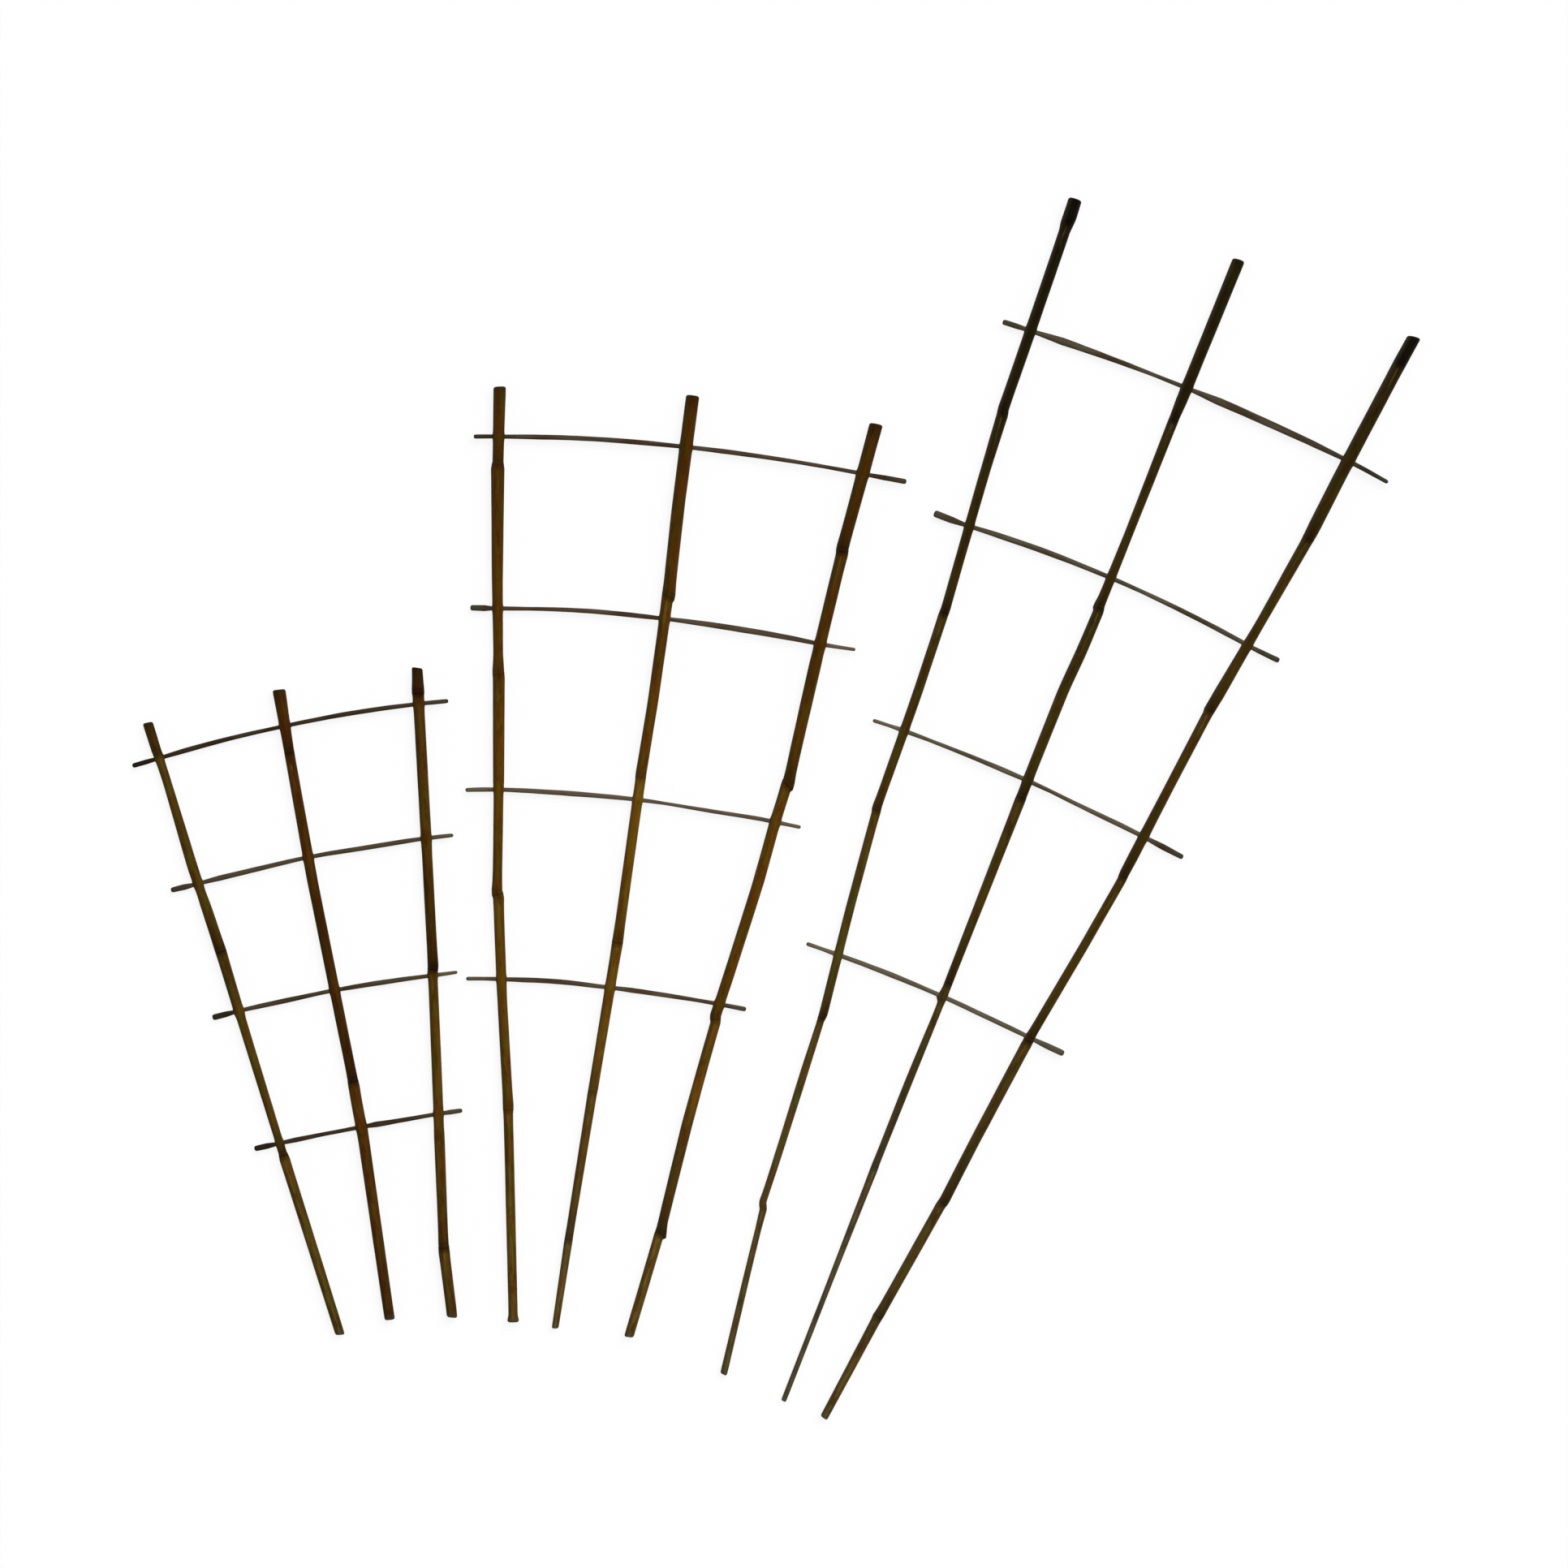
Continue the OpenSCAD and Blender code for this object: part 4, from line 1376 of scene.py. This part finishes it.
@dataclass
class Studio:
    """Pale floor, soft light and a camera that looks straight down."""

    image_width: float = 1.5021
    image_centre: tuple[float, float] = (7.956 * MM, 24.05 * MM)
    camera_height: float = 6.0
    camera_reach: float = 100.0
    sensor: float = 36.0
    floor_size: float = 60.0
    floor_drop: float = 0.3 * MM
    floor_shade: float = 0.99
    floor_glow: float = 0.85
    sky_light: float = 0.38
    sun_light: float = 2.4
    sun_tilt: tuple[float, float, float] = (-29.0, 24.0, 0.0)
    sun_spread: float = 50.0

    def build(self) -> None:
        """Builds the floor, the light and the camera."""
        scene = bpy.context.scene
        scene.view_settings.view_transform = "Standard"
        self.floor()
        self.sky(scene)
        self.sun(scene)
        self.camera(scene)

    def seen(self, w: Wiring) -> Socket:
        """Gives 1 on rays that see a surface directly, mirrored or through glass."""
        path = w.add("ShaderNodeLightPath").outputs
        both = w.math("MAXIMUM", path["Is Camera Ray"], path["Is Glossy Ray"])
        return w.math("MAXIMUM", both, path["Is Transmission Ray"])

    def floor(self) -> None:
        """Lays the pale floor, which keeps a soft shadow."""
        half = self.floor_size / 2
        mesh = bpy.data.meshes.new("floor")
        corners = [(x * half, y * half, -self.floor_drop) for x, y in ((-1, -1), (1, -1), (1, 1), (-1, 1))]
        mesh.from_pydata(corners, [], [(0, 1, 2, 3)])
        material, w = new_material("pale_floor")
        shade = (self.floor_shade, self.floor_shade, self.floor_shade, 1.0)
        matt = w.add("ShaderNodeBsdfDiffuse", {"Color": shade})
        glow = w.add("ShaderNodeEmission", {"Color": WHITE, "Strength": 1.0})
        share = w.math("MULTIPLY", self.seen(w), self.floor_glow)
        both = w.add("ShaderNodeMixShader", {0: share, 1: matt.outputs[0], 2: glow.outputs[0]})
        w.add("ShaderNodeOutputMaterial", {"Surface": both.outputs[0]})
        mesh.materials.append(material)
        link("floor", mesh)

    def sky(self, scene: bpy.types.Scene) -> None:
        """Lights the set softly from all round, with a white background."""
        world = bpy.data.worlds.new("studio")
        world.use_nodes = True
        w = Wiring(world.node_tree)
        light = w.add("ShaderNodeBackground", {"Color": WHITE, "Strength": self.sky_light})
        white = w.add("ShaderNodeBackground", {"Color": WHITE, "Strength": 1.0})
        both = w.add("ShaderNodeMixShader", {0: self.seen(w), 1: light.outputs[0], 2: white.outputs[0]})
        w.add("ShaderNodeOutputWorld", {"Surface": both.outputs[0]})
        scene.world = world

    def sun(self, scene: bpy.types.Scene) -> None:
        """Adds the broad light from above."""
        lamp = bpy.data.lights.new("overhead", "SUN")
        lamp.energy = self.sun_light
        lamp.angle = math.radians(self.sun_spread)
        thing = bpy.data.objects.new("overhead", lamp)
        thing.rotation_euler = [math.radians(turn) for turn in self.sun_tilt]
        scene.collection.objects.link(thing)

    def camera(self, scene: bpy.types.Scene) -> None:
        """Hangs the camera over the set."""
        eye = bpy.data.cameras.new("camera")
        eye.sensor_width = self.sensor
        eye.lens = self.sensor * self.camera_height / self.image_width
        eye.clip_end = self.camera_reach
        thing = bpy.data.objects.new("camera", eye)
        thing.location = (*self.image_centre, self.camera_height)
        scene.collection.objects.link(thing)
        scene.camera = thing


SMALL = FanFrame(
    name="small", cane_len=0.612, cane_thick=10.1 * MM, bar_thick=4.45 * MM, overhang=25 * MM, lean=-10.0,
    fan=7.2, length_shares=(1.0, 1.0, 1.015), fan_shares=(-1.035, 0.0, 0.96), warmths=(0.0, 1.0, 0.5),
    wear_and_highlight=(0.35, 0.1, 0.5), greys=(0.0, 0.0, 0.0), overruns=((1.3, 1.0), (0.3, 0.2), (1.1, 0.5)),
    slants=((0.25, -0.1), (0.05, -0.06), (0.2, -0.18)),
    canes={
        Side.LEFT: [
            bend(0, 0, 0.88, 1.02), bend(0.125, -0.0002, 0.93, 1.2),
            Row(0.292, -0.0005, 0.99, 0.77, 0.35, 0, 1.15), Row(0.52, 0.0006, 0.88, 0.98, 0, 0, 0.94),
            Row(0.625, 0.0018, 1.06, 1.06, 0.2, 0, 1.12), Row(0.705, 0.0006, 1.0, 0.98, 0, 0, 1.1),
            Row(0.722, -0.0002, 0.9, 0.92, 0, 0, 1.05), bend(0.765, -0.001, 1.0, 1.05),
            bend(0.905, 0.0008, 0.83, 1.05), Row(0.95, 0.0, 0.86, 0.93, 0.06, -0.05, 1.0, 0, 0.6),
            bend(1, 0, 0.98),
        ],
        Side.MIDDLE: [
            bend(0, 0, 0.99, 0.76), bend(0.125, 0.0038, 1.02, 0.94),
            Row(0.29, 0.0089, 1.07, 1.09, 0, 0, 1.1), bend(0.34, 0.008, 1.08, 1.1),
            Row(0.376, 0.0083, 1.08, 0.98, 0.2, 0, 0.75), Row(0.7, 0.0, 1.01, 1.03, 0, 0, 1.0),
            Row(0.9, -0.0007, 0.96, 0.94, 0.2, 0, 1.15), bend(1, 0.0004, 1.24),
        ],
        Side.RIGHT: [
            bend(0, 0, 1.0, 1.05), Row(0.106, -0.0074, 1.05, 0.93, 0.45, 0, 1.25),
            Row(0.287, -0.0047, 1.03, 0.97, 0, 0, 1.38), Row(0.535, -0.0009, 0.92, 0.99, 0.35, 0.08, 0.84),
            Row(0.72, -0.0003, 0.99, 1.03, 0, 0, 1.03), Row(0.961, -0.0006, 1.05, 1.1, 0.7, 0, 1.08),
            bend(1, 0, 1.04),
        ],
    },
    bars=[
        BarPlan((0.943, 0.9425, 0.945), (1.06, 1.12),
                (1.05, 1.1, 1.12, 1.02, 0.9, 0.93, 1.05, 1, 0.95, 0.92), (0.6, 0.2, 0.3, -0.4), 0.95,
                (0.4, 1.3)),
        BarPlan((0.7375, 0.734, 0.7375), (1.06, 1.03),
                (1.12, 1.28, 1.17, 1.1, 1, 1.02, 1.05, 1.05, 0.92, 0.82), (1.2, -0.6, -0.8, 0.1), 1.35,
                (0.8, 1.6)),
        BarPlan((0.5285, 0.522, 0.526), (1.03, 0.94),
                (1.28, 1.25, 1.02, 1.1, 0.9, 1.02, 1.1, 0.93, 0.82, 0.72), (0.1, -0.5, -0.1, 0.5), 1.25,
                (0.5, 1.9)),
        BarPlan((0.312, 0.3042, 0.3125), (0.98, 0.91),
                (1.18, 1.25, 1.07, 0.9, 0.87, 1.24, 1, 0.9, 1.08, 0.95), (0, 0, -0.3, -0.2), 1.0,
                (0.45, 1.5)),
    ],
    skin=CaneSkin("small_cane_skin", foot=(76, 58, 16), middle=(73, 54, 9), top=(71, 51, 9)),
    split=SplitBamboo("small_split_face", brown=(48, 35, 22), grey=(64, 55, 41), tip=(58, 50, 36)),
    seed=11,
)

MEDIUM = FanFrame(
    name="medium", cane_len=0.9, cane_thick=10.6 * MM, bar_thick=4.55 * MM, overhang=30 * MM, lean=8.4,
    fan=8.0, length_shares=(0.993, 1.0, 1.003), fan_shares=(-1.155, 0.0, 0.845), warmths=(0.08, 0.05, 0.15),
    wear_and_highlight=(0.45, 0.6, 0.8), greys=(0.0, 0.15, 0.05), overruns=((0.6, 1.2), (0.6, 2.0), (1.1, 1.6)),
    slants=((0.0, 0.06), (-0.16, 0.0), (-0.16, 0.06)),
    canes={
        Side.LEFT: [
            bend(0, 0, 1.04, 0.92), Row(0.008, 0, 0.86, 0.84, 0, 0, 0.92),
            Row(0.227, -0.0019, 0.87, 0.93, 0.45, 0.03, 0.95, 0, 0.5),
            Row(0.35, -0.007, 0.89, 0.92, 0, 0, 1.0),
            Row(0.458, -0.0098, 0.96, 0.86, 0.75, -0.13, 0.95, -0.05, 0.55),
            Row(0.575, -0.0071, 0.9, 1.02, 0, 0, 0.95),
            Row(0.693, -0.0054, 1.09, 1.06, 0.12, -0.05, 0.9, 0, 0.4), bend(0.719, -0.0054, 0.9),
            Row(0.795, -0.0053, 1.0, 1.02, 0, 0, 1.07),
            Row(0.918, -0.0029, 1.22, 0.99, 0.15, 0.02, 1.0, 0, 0.5), bend(1, 0.0003, 1.13),
        ],
        Side.MIDDLE: [
            bend(0, 0, 0.62, 1.05), Row(0.095, 0.0004, 0.75, 0.72, 0.25, 0, 0.87, 0, 0.7),
            Row(0.255, 0.0028, 0.86, 0.87, 0.15, 0.02, 1.25, 0, 0.4),
            Row(0.415, 0.0058, 0.97, 0.93, 0.5, 0, 1.38, 0, 0.7),
            Row(0.592, 0.0044, 0.94, 0.97, 0.15, -0.04, 1.0, 0, 0.4), bend(0.675, 0.0057, 0.96),
            Row(0.787, 0.0052, 1.02, 1.12, 0.5, 0.08, 1.0, 0.04, 0.6, 0.35), bend(0.888, 0.0018, 1.17),
            bend(1, 0, 1.21),
        ],
        Side.RIGHT: [
            bend(0, 0, 0.86, 1.2), Row(0.1135, 0.003, 0.88, 0.89, 0.08, 0.06, 0.69, 0.24, 1, 0.3),
            bend(0.235, 0.0005, 0.98, 1.15), Row(0.348, 0.0005, 0.91, 0.96, 0.35, -0.2, 0.88, 0, 0.6),
            Row(0.5, 0.0067, 1.01, 1.03, 0, 0, 1.14), bend(0.565, 0.0072, 1.0, 1.05),
            Row(0.608, 0.0092, 0.98, 1.0, 0.45, 0.11, 0.9, 0.1, 0.8, 0.4),
            Row(0.745, 0.0041, 1.12, 1.08, 0, 0, 0.9), Row(0.862, 0.0005, 1.08, 1.07, 0.4, -0.1, 0.82),
            bend(1, 0.0002, 1.22),
        ],
    },
    bars=[
        BarPlan((0.948, 0.947, 0.947), (0.78, 1.4),
                (0.92, 0.9, 1.05, 1.02, 1.08, 1.05, 0.92, 0.8, 1.08, 1.1), (-0.1, 0.5, -0.2, 1.2), 0.96,
                (0.6, 0.85)),
        BarPlan((0.764, 0.763, 0.761), (0.86, 1.13),
                (1.18, 1.3, 0.83, 1, 1.05, 1.12, 1.28, 1.1, 0.83, 0.74), (0.6, 0.8, -0.2, 2.1), 1.05,
                (0.7, 1.5)),
        BarPlan((0.57, 0.5685, 0.5665), (1.04, 0.82),
                (0.86, 0.97, 0.98, 1.12, 1, 0.7, 0.82, 0.9, 0.78, 0.78), (-1, -0.3, -1, 0.1), 1.3,
                (1.1, 1.2)),
        BarPlan((0.367, 0.3665, 0.3645), (1.11, 0.86),
                (0.82, 0.82, 1.05, 1.1, 1, 1.07, 1, 0.82, 0.97, 1.02), (-0.6, 0.8, -0.2, 0.1), 1.08,
                (1.15, 1)),
    ],
    # The flank colour here is a painted shade on the cane's sides.
    skin=CaneSkin("medium_cane_skin", foot=(84, 62, 14), middle=(90, 60, 4), top=(70, 42, 2),
                  flank=(56, 59, 38)),
    split=SplitBamboo("medium_split_face", brown=(62, 45, 31), grey=(80, 69, 56), tip=(78, 70, 56)),
    seed=31,
)

LARGE = FanFrame(
    name="large", cane_len=1.175, cane_thick=9.6 * MM, bar_thick=4.9 * MM, overhang=35 * MM, lean=21.75,
    fan=6.0, length_shares=(0.999, 1.0, 1.003), fan_shares=(-0.848, 0.0, 1.155), warmths=(0.0, 0.0, 0.2),
    wear_and_highlight=(0.6, 0.7, 0.6), greys=(0.1, 0.4, 0.05), overruns=((0.2, 0.4), (0.4, 1.0), (-0.8, 1.3)),
    slants=((0.2, 0.0), (0.08, 0.08), (0.13, 0.25)),
    canes={
        Side.LEFT: [
            bend(0, 0, 0.71), bend(0.118, -0.0072, 0.63),
            Row(0.141, -0.0087, 0.72, 0.69, 0.3, -0.25, 1.2, -0.04, 0.25), bend(0.255, -0.0075, 0.8, 1.2),
            Row(0.302, -0.0064, 0.72, 0.87, 0.12, 0.08, 1.3), bend(0.395, -0.0103, 0.88, 1.3),
            Row(0.477, -0.0126, 0.87, 0.87, 0.4, -0.07, 1.12, -0.04, 0.8), bend(0.573, -0.0079, 0.95, 1.12),
            Row(0.647, -0.0056, 0.97, 0.93, 0.25, 0.05, 0.95), bend(0.765, -0.0069, 1.0, 0.8),
            Row(0.817, -0.0069, 1.15, 1.09, 0.15, -0.1, 0.7, 0, 0.7), bend(0.97, -0.0008, 1.13, 0.66),
            Row(0.982, -0.0005, 1.32, 1.38, 0.15, 0.05, 0.52, 0, 0.9), bend(1, 0, 1.36),
        ],
        Side.MIDDLE: [
            bend(0, 0, 0.53, 0.68), bend(0.1, -0.0008, 0.56, 0.8),
            Row(0.205, -0.0016, 0.76, 0.71, 0.3, -0.02, 0.85, 0, 0.55), bend(0.28, -0.0017, 0.78, 0.85),
            bend(0.343, -0.001, 0.69, 0.85), Row(0.352, -0.0012, 0.73, 0.8, 0.05, 0, 0.95, -0.22, 0.35),
            Row(0.366, -0.0014, 0.83, 0.83, 0.15, 0, 0.95), Row(0.528, -0.0024, 1.06, 0.98, 0.3, 0, 0.95),
            bend(0.552, -0.0027, 1.05, 1.2), bend(0.623, -0.0028, 1.11, 0.95),
            bend(0.657, -0.001, 1.12, 0.95), Row(0.695, -0.0005, 1.06, 0.98, 0.2, -0.11, 1.15, -0.13, 0.9),
            bend(0.76, -0.0005, 0.88, 1.15), Row(0.86, -0.001, 1.01, 0.98, 0.15, 0, 1.25),
            bend(0.88, -0.0008, 1.16, 0.9), bend(1, 0, 1.24),
        ],
        Side.RIGHT: [
            bend(0, 0, 0.8), Row(0.094, -0.0008, 0.97, 0.97, 0.2, 0.04, 1.0, -0.06, 0.8),
            Row(0.2, 0.0009, 1.0, 1.03, 0.12, 0.11, 0.74, 0, 0.8), bend(0.255, -0.0003, 1.02, 1.04),
            Row(0.349, -0.0014, 1.06, 0.92, 0.25, -0.03, 0.95), bend(0.44, 0.0015, 0.9, 0.95),
            Row(0.503, 0.0024, 0.9, 0.96, 0.1, -0.08, 0.88, 0, 0.8), bend(0.523, 0.0019, 1.03),
            bend(0.585, 0.0004, 0.95, 1.27), Row(0.655, -0.0009, 0.99, 1.07, 0.12, 0, 1.0, -0.06, 0.7),
            bend(0.672, -0.0005, 1.15, 1.25), bend(0.74, 0.0014, 0.95, 1.62),
            Row(0.816, 0.0025, 1.15, 1.21, 0.12, 0, 1.55, 0, 0.8), bend(0.832, 0.0021, 1.3, 1.55),
            bend(0.87, 0.0009, 1.3, 1.55), Row(0.976, -0.0007, 1.3, 1.3, 0.15, 0, 0.75),
            bend(1, -0.0006, 1.31),
        ],
    },
    bars=[
        BarPlan((0.887, 0.888, 0.887), (0.79, 1.22),
                (1.08, 1.08, 1.5, 1.08, 0.78, 1.52, 1.42, 1.2, 0.87, 0.8), (0, 0.1, -0.2, -1.2), 0.93,
                (0.85, 0.75)),
        BarPlan((0.72, 0.7215, 0.7165), (1.02, 0.96), (1.38, 1.34, 1.12, 1.18, 1, 0.83, 0.95, 1, 1, 1.08),
                (2.6, 0.1, -0.1, 2.3), 1.03, (0.95, 0.8)),
        BarPlan((0.545, 0.543, 0.5395), (0.89, 1.21),
                (0.74, 0.68, 0.72, 0.86, 1.02, 0.78, 0.88, 1.02, 1.2, 1.02), (-0.6, -0.1, -0.8, 0.5), 1.22,
                (1.25, 0.6)),
        BarPlan((0.3545, 0.354, 0.352), (0.91, 1.02),
                (0.8, 0.77, 0.95, 1.06, 0.9, 0.95, 0.98, 0.98, 1.2, 1.2), (0.2, 0.1, -0.4, 1.5), 1.27,
                (1.3, 0.9)),
    ],
    # The flank colour here is a pale painted sheen on the cane's sides.
    skin=CaneSkin("large_cane_skin", foot=(74, 61, 24), middle=(64, 48, 7), top=(24, 19, 2),
                  flank=(84, 79, 66), painted_flank_share=0.25),
    split=SplitBamboo("large_split_face", brown=(66, 54, 38), grey=(84, 77, 62), tip=(76, 70, 55)),
    seed=51,
)


def main() -> None:
    """Builds the studio and the three frames."""
    logging.basicConfig(level=logging.INFO, format="%(name)s %(message)s")
    Studio().build()
    tree = GrownSweep()
    tree.build()
    for fan_frame in (SMALL, MEDIUM, LARGE):
        fan_frame.build(tree)


if __name__ == "__main__":
    main()
